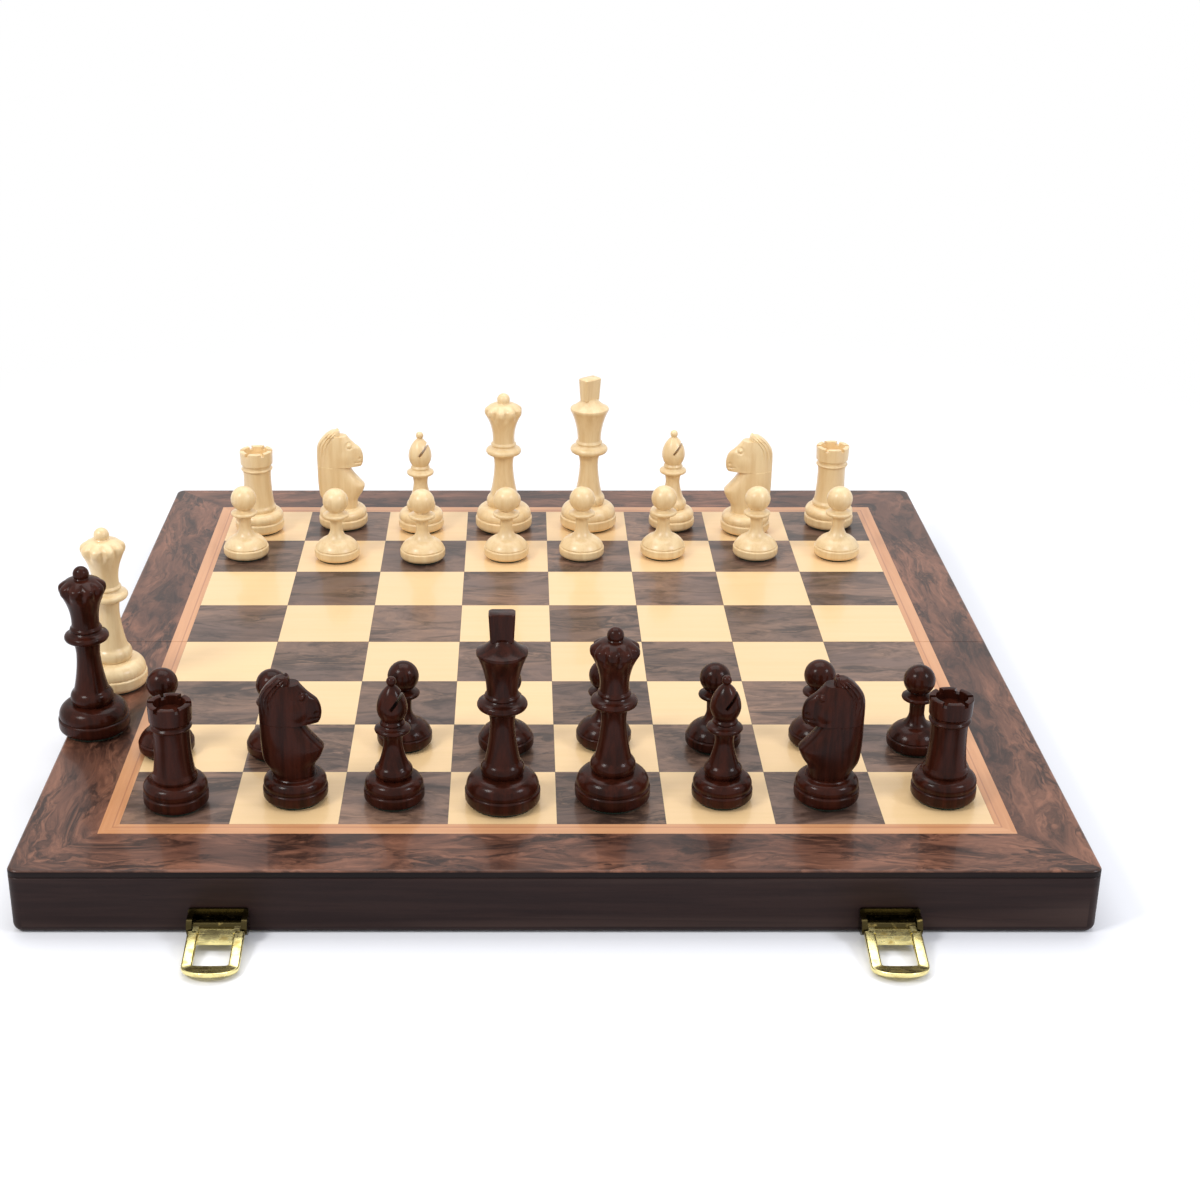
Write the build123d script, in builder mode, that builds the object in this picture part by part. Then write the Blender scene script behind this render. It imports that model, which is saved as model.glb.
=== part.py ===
from build123d import *
from math import atan2, degrees, sqrt
import os

os.makedirs("parts", exist_ok=True)

# A folding chess board, opened flat with its squares up, and its magnetic pieces.
# The two halves meet at the seam on the line y = 0 and rest on their rims at z = 0.
# The fold's axis lies in both rims, so they meet face to face when the board is shut.

# Board
board_width = 390.0
half_height = 26.0
seam_gap = 0.3
corner_radius = 4.0
top_edge_radius = 1.2
rim_edge_radius = 3.0
rail_thickness = 9.0
panel_thickness = 2.4
veneer_thickness = 0.6
joint_groove = 0.4
lining_thickness = 1.0
lining_clearance = 0.2

# Playing field
border_width = 26.3
field_squares = 8
field_off_centre = 1.5
inlay_width = 6.9
steel_thickness = 0.5
steel_margin = 3.0
steel_clearance = 0.1

# Fold hinges, let into the rims on both sides of the seam
hinge_spacing = 220.0
hinge_length = 30.0
knuckle_count = 5
knuckle_gap = 0.2
barrel_radius = 1.3
hinge_pin_radius = 0.6
hinge_pin_clearance = 0.05
leaf_width = 7.6
leaf_thickness = 1.0
leaf_clearance = 0.1
barrel_clearance = 0.4

# Screws
screw_head_radius = 1.7
screw_head_height = 1.0
screw_shank_radius = 0.8
screw_length = 6.0
screw_clearance = 0.05
leaf_screw_spacing = 16.0

# Latches on the front wall
latch_spacing = 240.0
bracket_width = 21.6
bracket_height = 9.6
bracket_bottom = 1.4
bracket_thickness = 1.0
ear_thickness = 2.0
ear_radius = 3.3
latch_pin_radius = 1.0
latch_pin_height = 6.0
latch_pin_reach = 4.2
latch_pin_clearance = 0.06
bracket_screw_spacing = 9.0
hasp_width = 20.4
hasp_length = 27.6
hasp_thickness = 2.2
hasp_droop = 10.5
hasp_knuckle_radius = 2.5
hasp_side_gap = 0.3
window_width = 12.6
window_start = 8.6
window_end = 20.8
lip_bow = 2.6
lip_rise = 2.4
root_recess = 0.9
keeper_width = 10.6
keeper_height = 8.0
keeper_reach = 5.2
keeper_plate_width = 20.0
keeper_plate_margin = 2.0
keeper_screw_spacing = 15.2

# Chess pieces
felt_thickness = 0.8
felt_inset = 0.7
foot_round = 0.8
groove_depth = 0.7
groove_height = 0.6
magnet_radius = 4.0
magnet_thickness = 3.0
magnet_clearance = 0.1
king_base = 28.5
king_foot = 6.4
king_collar_height = 41.2
king_rim_height = 62.2
king_height = 78.2
king_rim = 19.4
finial_width = 9.8
finial_depth = 6.6
finial_narrowing = 0.98
finial_corner = 1.0
finial_chamfer = 0.5
queen_base = 28.5
queen_foot = 6.4
queen_collar_height = 41.2
queen_rim_height = 61.8
queen_rim = 18.8
queen_ball = 5.6
crown_notches = 9
crown_notch_radius = 1.5
bishop_base = 23.0
bishop_foot = 5.6
bishop_collar_height = 30.2
bishop_head_height = 38.8
bishop_head = 11.6
bishop_ball = 3.8
bishop_slit_width = 1.1
bishop_slit_angle = 35.0
knight_base = 24.6
knight_foot = 5.8
knight_height = 51.4
knight_jaw_height = 32.0
knight_thickness = 11.0
rook_base = 24.5
rook_foot = 6.0
rook_height = 42.5
rook_rim = 16.4
rook_hollow = 11.8
rook_hollow_depth = 3.8
rook_notch_width = 2.0
rook_notch_depth = 2.2
rook_notches = 6
pawn_base = 22.0
pawn_foot = 5.6
pawn_collar_height = 22.4
pawn_ball = 12.4

# Where the pieces stand: how far each is off the centre of its square, in x and y
light_back_row = ["rook", "knight", "bishop", "queen", "king", "bishop", "knight", "rook"]
dark_back_row = ["rook", "knight", "bishop", "king", "queen", "bishop", "knight", "rook"]
light_back_nudges = [(-4, -4.5), (-2.5, 2), (-3, -2.5), (-1.5, -1)]
light_back_nudges += [(1, 1.5), (3, 0), (-0.5, -5.5), (2.5, 2.5)]
light_pawn_nudges = [(-6.5, 1), (-2, -2), (-0.5, -3), (0, -0.5)]
light_pawn_nudges += [(-3.5, 0.5), (-4, 2), (1, 1), (0.5, 1)]
dark_pawn_nudges = [(-12, -2.5), (-9.5, -3.5), (1, 4), (1, 0.5)]
dark_pawn_nudges += [(-0.5, 5), (2.5, 2.5), (3.5, 5), (1.5, 0.5)]
dark_back_nudges = [(-1.5, -4.5), (2.5, 0.5), (-0.5, -1.5), (0, -3)]
dark_back_nudges += [(1, -0.5), (2, -0.5), (1, -0.5), (5, 0.5)]
spare_edge_distance = 10.5
light_spare_y = -42.5
dark_spare_y = -84.0
light_king_turn = 38.0
file_letters = "abcdefgh"

# Worked out from the sizes above
half_width = board_width / 2
half_depth = board_width / 2
panel_top = half_height - veneer_thickness
rail_top = panel_top - panel_thickness
seam_edge = seam_gap / 2
rail_inner = rail_thickness
field_half = half_depth - border_width - inlay_width
square = 2 * field_half / field_squares
field_left = field_off_centre - field_half
field_right = field_off_centre + field_half
pin_y = half_depth + latch_pin_reach
front = -1
back = 1


def write(name, *solids):
    """Writes one piece, whose solids stay apart, as a node of its own."""
    node = Compound(label=name, children=list(solids))
    export_step(node, f"parts/{name}.step")


def patch(side, left, right, near, far):
    """A rectangle from left to right, and from near to far off the seam on one side of it."""
    with Locations(((left + right) / 2, side * (near + far) / 2)):
        Rectangle(right - left, far - near)


def slice_of(solid, bottom, top):
    """The layer of a solid between two heights."""
    with BuildPart() as layer:
        add(solid)
        with BuildSketch(Plane.XY.offset(bottom)):
            Rectangle(4 * board_width, 4 * board_width)
        extrude(amount=top - bottom, mode=Mode.INTERSECT)
    return layer.part


def half_blank(side):
    """One half of the board as a solid block, with its outer edges rounded."""
    with BuildPart() as blank:
        with BuildSketch():
            patch(side, -half_width, half_width, seam_edge, half_depth)
        extrude(amount=half_height)
        upright = blank.edges().filter_by(Axis.Z).sort_by(Axis.Y)
        outer = upright[:2] if side == front else upright[-2:]
        fillet(outer, corner_radius)
        rim = blank.faces().sort_by(Axis.Z)[0].edges()
        fillet(sorted(rim, key=lambda e: abs(e.center().Y))[1:], rim_edge_radius)
        top = blank.faces().sort_by(Axis.Z)[-1].edges()
        fillet(sorted(top, key=lambda e: abs(e.center().Y))[1:], top_edge_radius)
    return blank.part


def mitred(side, solid, left, right, near, far, widths):
    """Splits a frame-shaped solid into its strips, which meet in mitres at the corners."""
    wide_left, wide_right, wide_near, wide_far = widths
    corners = [(left, near), (right, near), (right, far), (left, far)]
    inner = [
        (left + wide_left, near + wide_near),
        (right - wide_right, near + wide_near),
        (right - wide_right, far - wide_far),
        (left + wide_left, far - wide_far),
    ]
    strips = []
    for i, width in enumerate([wide_near, wide_right, wide_far, wide_left]):
        if not width:
            continue
        j = (i + 1) % 4
        outline = [corners[i], corners[j], inner[j], inner[i]]
        with BuildPart() as strip:
            add(solid)
            with BuildSketch():
                with BuildLine():
                    Polyline(*[(x, side * y) for x, y in outline], close=True)
                make_face()
            extrude(amount=half_height, mode=Mode.INTERSECT)
        strips.append(strip.part)
    return strips


def screw_places(side):
    """Where the hinge leaves' screws go on one side: x, and y off the seam."""
    along = (barrel_radius + barrel_clearance + leaf_width) / 2
    for hinge in (-hinge_spacing / 2, hinge_spacing / 2):
        for shift in (-leaf_screw_spacing / 2, leaf_screw_spacing / 2):
            yield hinge + shift, side * along


def screw():
    """A countersunk screw with its head's face at z = 0 and its shank pointing up."""
    with BuildPart() as body:
        Cone(
            screw_head_radius,
            screw_shank_radius,
            screw_head_height,
            align=(Align.CENTER, Align.CENTER, Align.MIN),
        )
        Cylinder(screw_shank_radius, screw_length, align=(Align.CENTER, Align.CENTER, Align.MIN))
    return body.part


def screw_hole():
    """The room that a screw takes in what it holds."""
    with BuildPart() as room:
        Cone(
            screw_head_radius + screw_clearance,
            screw_shank_radius + screw_clearance,
            screw_head_height,
            align=(Align.CENTER, Align.CENTER, Align.MIN),
        )
        Cylinder(
            screw_shank_radius + screw_clearance,
            screw_length + screw_clearance,
            align=(Align.CENTER, Align.CENTER, Align.MIN),
        )
    return room.part


fixing = screw()
fixing_room = screw_hole()


def wall_screw_planes(side, xs, z):
    """Planes at the outer faces of fittings on one end wall, facing into the wood."""
    face = side * (half_depth + bracket_thickness)
    return [Plane(origin=(x, face, z), x_dir=(1, 0, 0), z_dir=(0, -side, 0)) for x in xs]


def latch_xs(spacing):
    """The screws' x places on both latches."""
    centres = (-latch_spacing / 2, latch_spacing / 2)
    return [x + shift for x in centres for shift in (-spacing / 2, spacing / 2)]


bracket_screw_z = latch_pin_height + hasp_knuckle_radius + screw_head_radius / 2
keeper_z = (window_start + window_end) / 2 - latch_pin_height
keeper_bottom = keeper_z - keeper_height / 2 - keeper_plate_margin
keeper_top = keeper_z + keeper_height / 2 + keeper_plate_margin
wall_screws = {
    front: wall_screw_planes(front, latch_xs(bracket_screw_spacing), bracket_screw_z),
    back: wall_screw_planes(back, latch_xs(keeper_screw_spacing), keeper_z),
}


def frame_rails(side, blank):
    """Four mitred rails around the tray, let in for the hinges and bored for the screws."""
    with BuildPart() as frame:
        add(slice_of(blank, 0, rail_top))
        top = frame.faces().sort_by(Axis.Z)[-1].edges()
        chamfer(sorted(top, key=lambda e: abs(e.center().Y))[1:], joint_groove)
        with BuildSketch():
            patch(
                side,
                rail_inner - half_width,
                half_width - rail_inner,
                seam_edge + rail_inner,
                half_depth - rail_inner,
            )
        extrude(amount=half_height, mode=Mode.SUBTRACT)
        for hinge in (-hinge_spacing / 2, hinge_spacing / 2):
            reach = hinge_length / 2 + leaf_clearance
            with BuildSketch():
                patch(side, hinge - reach, hinge + reach, 0, leaf_width + leaf_clearance)
            extrude(amount=leaf_thickness, mode=Mode.SUBTRACT)
            with BuildSketch():
                patch(side, hinge - reach, hinge + reach, 0, barrel_radius + barrel_clearance)
            extrude(amount=barrel_radius + barrel_clearance, mode=Mode.SUBTRACT)
        with Locations(*[(x, y, 0) for x, y in screw_places(side)]):
            add(fixing_room, mode=Mode.SUBTRACT)
        for plane in wall_screws[side]:
            add(plane.from_local_coords(fixing_room), mode=Mode.SUBTRACT)
    widths = (rail_inner, rail_inner, rail_inner, rail_inner)
    return mitred(side, frame.part, -half_width, half_width, seam_edge, half_depth, widths)


def steel_room(side, clearance):
    """Draws the steel sheet's outline in the open sketch."""
    patch(
        side,
        field_left - steel_margin - clearance,
        field_right + steel_margin + clearance,
        steel_margin - clearance,
        field_half + steel_margin + clearance,
    )


def top_panel(side, blank):
    """The thin panel that closes the tray, with a pocket for the steel sheet."""
    with BuildPart() as panel:
        add(slice_of(blank, rail_top, panel_top))
        under = panel.faces().sort_by(Axis.Z)[0].edges()
        chamfer(sorted(under, key=lambda e: abs(e.center().Y))[1:], joint_groove)
        with BuildSketch(Plane.XY.offset(panel_top - steel_thickness)):
            steel_room(side, steel_clearance)
        extrude(amount=steel_thickness, mode=Mode.SUBTRACT)
    return panel.part


def steel_sheet(side):
    """The sheet under the veneer that the pieces' magnets hold to."""
    with BuildPart() as sheet:
        with BuildSketch(Plane.XY.offset(panel_top - steel_thickness)):
            steel_room(side, 0)
        extrude(amount=steel_thickness)
    return sheet.part


def inlay_strips(side):
    """The strips of inlay around the playing field on three sides, mitred."""
    outer_left = field_left - inlay_width
    outer_right = field_right + inlay_width
    with BuildPart() as ring:
        with BuildSketch(Plane.XY.offset(panel_top)):
            patch(side, outer_left, outer_right, seam_edge, field_half + inlay_width)
            with BuildSketch(Plane.XY.offset(panel_top), mode=Mode.SUBTRACT):
                patch(side, field_left, field_right, seam_edge, field_half)
        extrude(amount=veneer_thickness)
    widths = (inlay_width, inlay_width, 0, inlay_width)
    far = field_half + inlay_width
    return mitred(side, ring.part, outer_left, outer_right, seam_edge, far, widths)


def border_veneer(side, blank):
    """The border's veneer, from the inlay to the rounded outer edge, mitred."""
    with BuildPart() as ring:
        add(slice_of(blank, panel_top, half_height))
        with BuildSketch(Plane.XY.offset(panel_top)):
            patch(
                side,
                field_left - inlay_width,
                field_right + inlay_width,
                seam_edge,
                field_half + inlay_width,
            )
        extrude(amount=veneer_thickness, mode=Mode.SUBTRACT)
    widths = (
        field_left - inlay_width + half_width,
        half_width - field_right - inlay_width,
        0,
        half_depth - field_half - inlay_width,
    )
    return mitred(side, ring.part, -half_width, half_width, seam_edge, half_depth, widths)


def square_veneers(side, shade):
    """The squares of one shade in one half, as separate veneers. Shade 0 is dark, 1 is light."""
    tiles = []
    for file in range(field_squares):
        for row in range(field_squares // 2):
            rank = field_squares // 2 - 1 - row if side == front else field_squares // 2 + row
            if (file + rank) % 2 != shade:
                continue
            left = field_left + file * square
            near = max(row * square, seam_edge)
            with BuildPart() as tile:
                with BuildSketch(Plane.XY.offset(panel_top)):
                    patch(side, left, left + square, near, (row + 1) * square)
                extrude(amount=veneer_thickness)
            tiles.append(tile.part)
    return tiles


def tray_lining(side):
    """The felt sheet glued under the panel, inside the tray."""
    inset = rail_inner + lining_clearance
    with BuildPart() as lining:
        with BuildSketch(Plane.XY.offset(rail_top - lining_thickness)):
            patch(side, inset - half_width, half_width - inset, seam_edge + inset, half_depth - inset)
        extrude(amount=lining_thickness)
    return lining.part


def hinge_leaf(side, hinge):
    """One leaf of a butt hinge: a plate in the rim and every other knuckle of the barrel."""
    pitch = hinge_length / knuckle_count
    first = 0 if side == front else 1
    plate_near = barrel_radius + barrel_clearance
    with BuildPart() as leaf:
        with BuildSketch():
            patch(side, hinge - hinge_length / 2, hinge + hinge_length / 2, plate_near, leaf_width)
        extrude(amount=leaf_thickness)
        for number in range(first, knuckle_count, 2):
            start = hinge - hinge_length / 2 + number * pitch + knuckle_gap / 2
            with BuildSketch(Plane.YZ.offset(start)):
                Circle(barrel_radius)
                with Locations((side * plate_near / 2, leaf_thickness / 2)):
                    Rectangle(plate_near, leaf_thickness)
                Circle(hinge_pin_radius + hinge_pin_clearance, mode=Mode.SUBTRACT)
            extrude(amount=pitch - knuckle_gap)
        with Locations(*[(x, y, 0) for x, y in screw_places(side) if abs(x - hinge) < hinge_length]):
            add(fixing_room, mode=Mode.SUBTRACT)
    return leaf.part


def hinge_pin(hinge):
    """The pin through one hinge's knuckles."""
    with BuildPart() as pin:
        with BuildSketch(Plane.YZ.offset(hinge - hinge_length / 2)):
            Circle(hinge_pin_radius)
        extrude(amount=hinge_length)
    return pin.part


def screws(side):
    """All the screws in one half: those of the hinges and those of its end wall's fittings."""
    placed = []
    for x, y in screw_places(side):
        placed.append(Location((x, y, 0)) * fixing)
    for plane in wall_screws[side]:
        placed.append(plane.from_local_coords(fixing))
    return placed


def latch_bracket(x):
    """A wall plate with two ears that carry the hasp's pin."""
    ear_edge = bracket_width / 2
    with BuildPart() as bracket:
        with BuildSketch(Plane.XZ.offset(half_depth)):
            with Locations((x, bracket_bottom + bracket_height / 2)):
                RectangleRounded(bracket_width, bracket_height, bracket_thickness)
        extrude(amount=bracket_thickness)
        for start in (x - ear_edge, x + ear_edge - ear_thickness):
            with BuildSketch(Plane.YZ.offset(start)):
                with Locations((-pin_y, latch_pin_height)):
                    Circle(ear_radius)
                with Locations((-(half_depth + pin_y) / 2, latch_pin_height)):
                    Rectangle(latch_pin_reach, 2 * ear_radius)
                with Locations((-pin_y, latch_pin_height)):
                    Circle(latch_pin_radius + latch_pin_clearance, mode=Mode.SUBTRACT)
            extrude(amount=ear_thickness)
        for plane in wall_screws[front]:
            if abs(plane.origin.X - x) < bracket_width:
                add(plane.from_local_coords(fixing_room), mode=Mode.SUBTRACT)
    return bracket.part


def latch_pin(x):
    """The pin that a hasp turns on, as long as its bracket is wide."""
    with BuildPart() as pin:
        with BuildSketch(Plane.YZ.offset(x - bracket_width / 2)):
            with Locations((-pin_y, latch_pin_height)):
                Circle(latch_pin_radius)
        extrude(amount=bracket_width)
    return pin.part


def hasp(x):
    """A swinging hasp, lying out from its pin: two arms, a recessed root, a window and a curled lip."""
    pivot = (x, -pin_y, latch_pin_height)
    droop = Vector(0, -1, 0).rotate(Axis.X, hasp_droop)
    upward = Vector(0, 0, 1).rotate(Axis.X, hasp_droop)
    side_view = Plane(origin=pivot, x_dir=droop, z_dir=(-1, 0, 0))
    top_view = Plane(origin=pivot, x_dir=(1, 0, 0), z_dir=upward)
    root_half = bracket_width / 2 - ear_thickness - hasp_side_gap
    arm_half = hasp_width / 2
    half = hasp_thickness / 2
    corner = hasp_length - lip_bow
    shoulder = ear_radius + 2 * hasp_side_gap
    lip_start = window_end + half
    with BuildPart() as body:
        with BuildSketch(side_view.offset(-arm_half)):
            with BuildLine():
                Line((0, half), (lip_start, half))
                SagittaArc((lip_start, half), (hasp_length, half + lip_rise), 0.6)
                Line((hasp_length, half + lip_rise), (hasp_length, lip_rise - half))
                SagittaArc((hasp_length, lip_rise - half), (lip_start, -half), -0.9)
                Line((lip_start, -half), (0, -half))
                Line((0, -half), (0, half))
            make_face()
        extrude(amount=hasp_width)
        with BuildSketch(top_view.offset(-hasp_thickness)):
            with BuildLine():
                Line((-root_half, 0), (-root_half, -shoulder))
                Line((-root_half, -shoulder), (-arm_half, -shoulder))
                Line((-arm_half, -shoulder), (-arm_half, -corner))
                ThreePointArc((-arm_half, -corner), (0, -hasp_length), (arm_half, -corner))
                Line((arm_half, -corner), (arm_half, -shoulder))
                Line((arm_half, -shoulder), (root_half, -shoulder))
                Line((root_half, -shoulder), (root_half, 0))
                Line((root_half, 0), (-root_half, 0))
            make_face()
            with Locations((0, -(window_start + window_end) / 2)):
                Rectangle(window_width, window_end - window_start, mode=Mode.SUBTRACT)
        extrude(amount=2 * hasp_thickness + lip_rise, mode=Mode.INTERSECT)
        with BuildSketch(top_view.offset(half - root_recess)):
            with Locations((0, -(window_start + hasp_knuckle_radius) / 2)):
                Rectangle(window_width, window_start - hasp_knuckle_radius)
        extrude(amount=root_recess, mode=Mode.SUBTRACT)
        with BuildSketch(side_view.offset(-root_half)):
            Circle(hasp_knuckle_radius)
        extrude(amount=2 * root_half)
        with BuildSketch(side_view.offset(-root_half)):
            Circle(latch_pin_radius + latch_pin_clearance)
        extrude(amount=2 * root_half, mode=Mode.SUBTRACT)
    return body.part


def keeper_plate(x):
    """The plate on the back half's end wall, with the block that fits the hasp's window."""
    plate_height = keeper_top - keeper_bottom
    wall = Plane.XZ.offset(-half_depth)
    with BuildPart() as keeper:
        with BuildSketch(wall):
            with Locations((x, keeper_z)):
                RectangleRounded(keeper_plate_width, plate_height, bracket_thickness)
        extrude(amount=-bracket_thickness)
        with BuildSketch(wall):
            with Locations((x, keeper_z)):
                RectangleRounded(keeper_width, keeper_height, bracket_thickness)
        extrude(amount=-keeper_reach)
        outer = keeper.faces().sort_by(Axis.Y)[-1].edges()
        chamfer(outer, bracket_thickness / 2)
        for plane in wall_screws[back]:
            if abs(plane.origin.X - x) < keeper_plate_width:
                add(plane.from_local_coords(fixing_room), mode=Mode.SUBTRACT)
    return keeper.part


def foot(base, height, dome_top, dome_radius):
    """The steps of a piece's foot: a rounded disc, a groove and a dome. Radius, height, bow."""
    radius = base / 2
    shelf = radius - groove_depth
    return [
        (radius - foot_round, felt_thickness, 0),
        (radius, felt_thickness + foot_round, 0.25),
        (radius, height - foot_round, 0),
        (shelf, height, 0.25),
        (shelf, height + groove_height, 0),
        (radius - groove_depth / 2, height + 2 * groove_height, 0.1),
        (dome_radius, dome_top, 1.0),
    ]


def turned(steps, ball=0):
    """A lathe-turned body. Each step is the next radius and height, and how far the outline bows out.
    A ball of the given diameter may close it at the top. A blind hole below holds the magnet."""
    with BuildPart() as body:
        with BuildSketch(Plane.XZ):
            with BuildLine():
                at = (0, felt_thickness)
                for radius, height, bow in steps:
                    if bow:
                        SagittaArc(at, (radius, height), -bow)
                    else:
                        Line(at, (radius, height))
                    at = (radius, height)
                if ball:
                    ball_radius = ball / 2
                    centre = at[1] + sqrt(ball_radius**2 - at[0] ** 2)
                    ThreePointArc(at, (ball_radius, centre), (0, centre + ball_radius))
                    at = (0, centre + ball_radius)
                elif at[0]:
                    Line(at, (0, at[1]))
                    at = (0, at[1])
                Line(at, (0, felt_thickness))
            make_face()
        revolve(axis=Axis.Z)
        with BuildSketch(Plane.XY.offset(felt_thickness)):
            Circle(magnet_radius + magnet_clearance)
        extrude(amount=magnet_thickness + magnet_clearance, mode=Mode.SUBTRACT)
    return body.part


def king_body():
    """The king: a tall stem, a collar, a flared cup and a squared finial."""
    collar = king_collar_height
    cup = king_rim_height
    rim = king_rim / 2
    steps = foot(king_base, king_foot, king_foot + 5.8, 9.4) + [
        (7.5, king_foot + 6.0, 0),
        (6.8, king_foot + 11.2, 1.1),
        (4.6, collar - 8.2, -0.4),
        (5.5, collar - 2.4, -0.2),
        (8.6, collar - 1.2, 0),
        (8.6, collar + 1.2, 0.75),
        (6.2, collar + 2.8, -0.3),
        (6.1, collar + 4.4, 0.5),
        (5.8, collar + 5.2, -0.1),
        (rim - 0.2, cup - 0.8, -0.8),
        (rim - 0.2, cup + 0.4, 0.25),
        (4.2, cup + 4.6, 0.6),
        (3.6, cup + 5.6, -0.1),
    ]
    finial_foot = cup + 4.8
    finial_height = king_height - finial_foot
    finial_taper = degrees(atan2(finial_narrowing, finial_height))
    with BuildPart() as king:
        add(turned(steps))
        with BuildSketch(Plane.XY.offset(king_height)) as top:
            Rectangle(finial_width, finial_depth)
            fillet(top.vertices(), finial_corner)
        extrude(amount=-finial_height, taper=finial_taper)
        chamfer(king.faces().sort_by(Axis.Z)[-1].edges(), finial_chamfer)
    return king.part


def queen_body():
    """The queen: as the king up to the collar, then a notched crown, a dome and a ball."""
    collar = queen_collar_height
    crown = queen_rim_height
    rim = queen_rim / 2
    steps = foot(queen_base, queen_foot, queen_foot + 5.8, 9.6) + [
        (7.8, queen_foot + 6.0, 0),
        (7.0, queen_foot + 11.6, 1.2),
        (4.7, collar - 8.2, -0.4),
        (5.4, collar - 2.2, -0.2),
        (8.1, collar - 1.1, 0),
        (8.1, collar + 1.1, 0.7),
        (5.9, collar + 2.7, -0.3),
        (5.8, collar + 4.3, 0.5),
        (5.5, collar + 5.0, -0.1),
        (rim - 0.3, crown - 1.4, -1.2),
        (rim - 0.3, crown + 1.4, 0.3),
        (2.0, crown + 4.0, 0.9),
        (1.7, crown + 4.4, 0),
    ]
    with BuildPart() as queen:
        add(turned(steps, queen_ball))
        with Locations((0, 0, crown)):
            with PolarLocations(rim + crown_notch_radius / 2, crown_notches):
                Cylinder(crown_notch_radius, 2 * crown_notch_radius + 2.8, mode=Mode.SUBTRACT)
    return queen.part


def bishop_body():
    """The bishop: a short stem, a collar and an egg-shaped head with a slanting slit."""
    collar = bishop_collar_height
    wide = bishop_head_height
    head = bishop_head / 2
    steps = foot(bishop_base, bishop_foot, bishop_foot + 4.8, 7.8) + [
        (6.4, bishop_foot + 5.0, 0),
        (5.9, bishop_foot + 9.8, 1.1),
        (3.5, collar - 5.8, -0.35),
        (4.1, collar - 1.8, -0.15),
        (6.2, collar - 0.9, 0),
        (6.2, collar + 0.9, 0.6),
        (4.4, collar + 2.0, -0.2),
        (4.3, collar + 3.4, 0.45),
        (4.1, collar + 3.9, 0),
        (head, wide, 0.35),
        (1.3, wide + 9.2, 1.6),
    ]
    slit = Plane(origin=(0, 0, wide + 1.6)).rotated((0, bishop_slit_angle, 0))
    with BuildPart() as bishop:
        add(turned(steps, bishop_ball))
        with BuildSketch(slit):
            with Locations((bishop_head, 0)):
                Rectangle(2 * bishop_head - bishop_slit_width, 2 * bishop_head)
        extrude(amount=bishop_slit_width / 2, both=True, mode=Mode.SUBTRACT)
    return bishop.part


def knight_body():
    """The knight: a carved horse's head on a turned foot, looking along +x."""
    neck = knight_foot + 5.0
    jaw = knight_jaw_height
    ear = knight_height
    steps = foot(knight_base, knight_foot, knight_foot + 4.6, 8.6) + [(8.2, neck, 0)]
    with BuildPart() as head:
        with BuildSketch(Plane.XZ):
            with BuildLine():
                Line((-7.8, neck - 0.6), (7.6, neck - 0.6))
                SagittaArc((7.6, neck - 0.6), (10.6, jaw - 12.0), 0.6)
                SagittaArc((10.6, jaw - 12.0), (3.4, jaw), 0.5)
                Line((3.4, jaw), (9.4, jaw))
                SagittaArc((9.4, jaw), (10.2, jaw + 4.8), -0.8)
                Line((10.2, jaw + 4.8), (7.8, ear - 9.4))
                SagittaArc((7.8, ear - 9.4), (1.8, ear - 3.4), -0.7)
                Line((1.8, ear - 3.4), (-0.8, ear))
                Line((-0.8, ear), (-3.6, ear - 2.8))
                SagittaArc((-3.6, ear - 2.8), (-11.8, ear - 12.8), -1.4)
                SagittaArc((-11.8, ear - 12.8), (-10.4, jaw - 11.0), -0.6)
                SagittaArc((-10.4, jaw - 11.0), (-7.8, neck - 0.6), 0.5)
            make_face()
        extrude(amount=knight_thickness, both=True)
        half = knight_thickness / 2
        with BuildSketch(Plane.YZ):
            with BuildLine():
                flank = Polyline((0, neck - 1), (half + 1.2, neck - 1), (half + 0.6, jaw - 8))
                cheek = Polyline(flank @ 1, (half, jaw + 4), (half - 1.2, ear - 6.4))
                Polyline(cheek @ 1, (half - 2.4, ear + 0.6), (0, ear + 0.6))
                mirror(about=Plane.YZ)
            make_face()
        extrude(amount=knight_base, both=True, mode=Mode.INTERSECT)
    with BuildPart() as knight:
        add(turned(steps))
        add(head.part)
    return knight.part


def rook_body():
    """The rook: a tapering tower with two thin rings and a notched, hollow top."""
    rim = rook_rim / 2
    top = rook_height
    steps = foot(rook_base, rook_foot, rook_foot + 5.0, 9.2) + [
        (8.4, rook_foot + 5.2, 0),
        (7.9, rook_foot + 7.8, 0.45),
        (6.9, top - 18.0, -0.2),
        (7.0, top - 10.4, -0.1),
        (7.7, top - 9.9, 0),
        (7.7, top - 9.1, 0.2),
        (7.1, top - 8.6, 0),
        (7.1, top - 7.8, 0),
        (rim - 0.2, top - 6.8, -0.1),
        (rim, top, 0),
        (rook_hollow / 2, top, 0),
        (rook_hollow / 2, top - rook_hollow_depth, 0),
    ]
    with BuildPart() as rook:
        add(turned(steps))
        with Locations((0, 0, top - rook_notch_depth / 2)):
            with PolarLocations(rim, rook_notches):
                Box(rim, rook_notch_width, rook_notch_depth, mode=Mode.SUBTRACT)
    return rook.part


def pawn_body():
    """The pawn: a flared foot, a thin stem, a collar and a ball."""
    collar = pawn_collar_height
    steps = foot(pawn_base, pawn_foot, pawn_foot + 4.2, 6.4) + [
        (5.4, pawn_foot + 4.4, 0),
        (3.0, collar - 5.6, -0.8),
        (3.3, collar - 1.8, -0.1),
        (5.8, collar - 0.9, 0),
        (5.8, collar + 0.9, 0.65),
        (3.4, collar + 2.1, -0.2),
    ]
    return turned(steps, pawn_ball)


def felt_disc(base):
    """The felt glued under a piece."""
    with BuildPart() as felt:
        with BuildSketch():
            Circle(base / 2 - foot_round - felt_inset / 2)
        extrude(amount=felt_thickness)
    return felt.part


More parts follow.
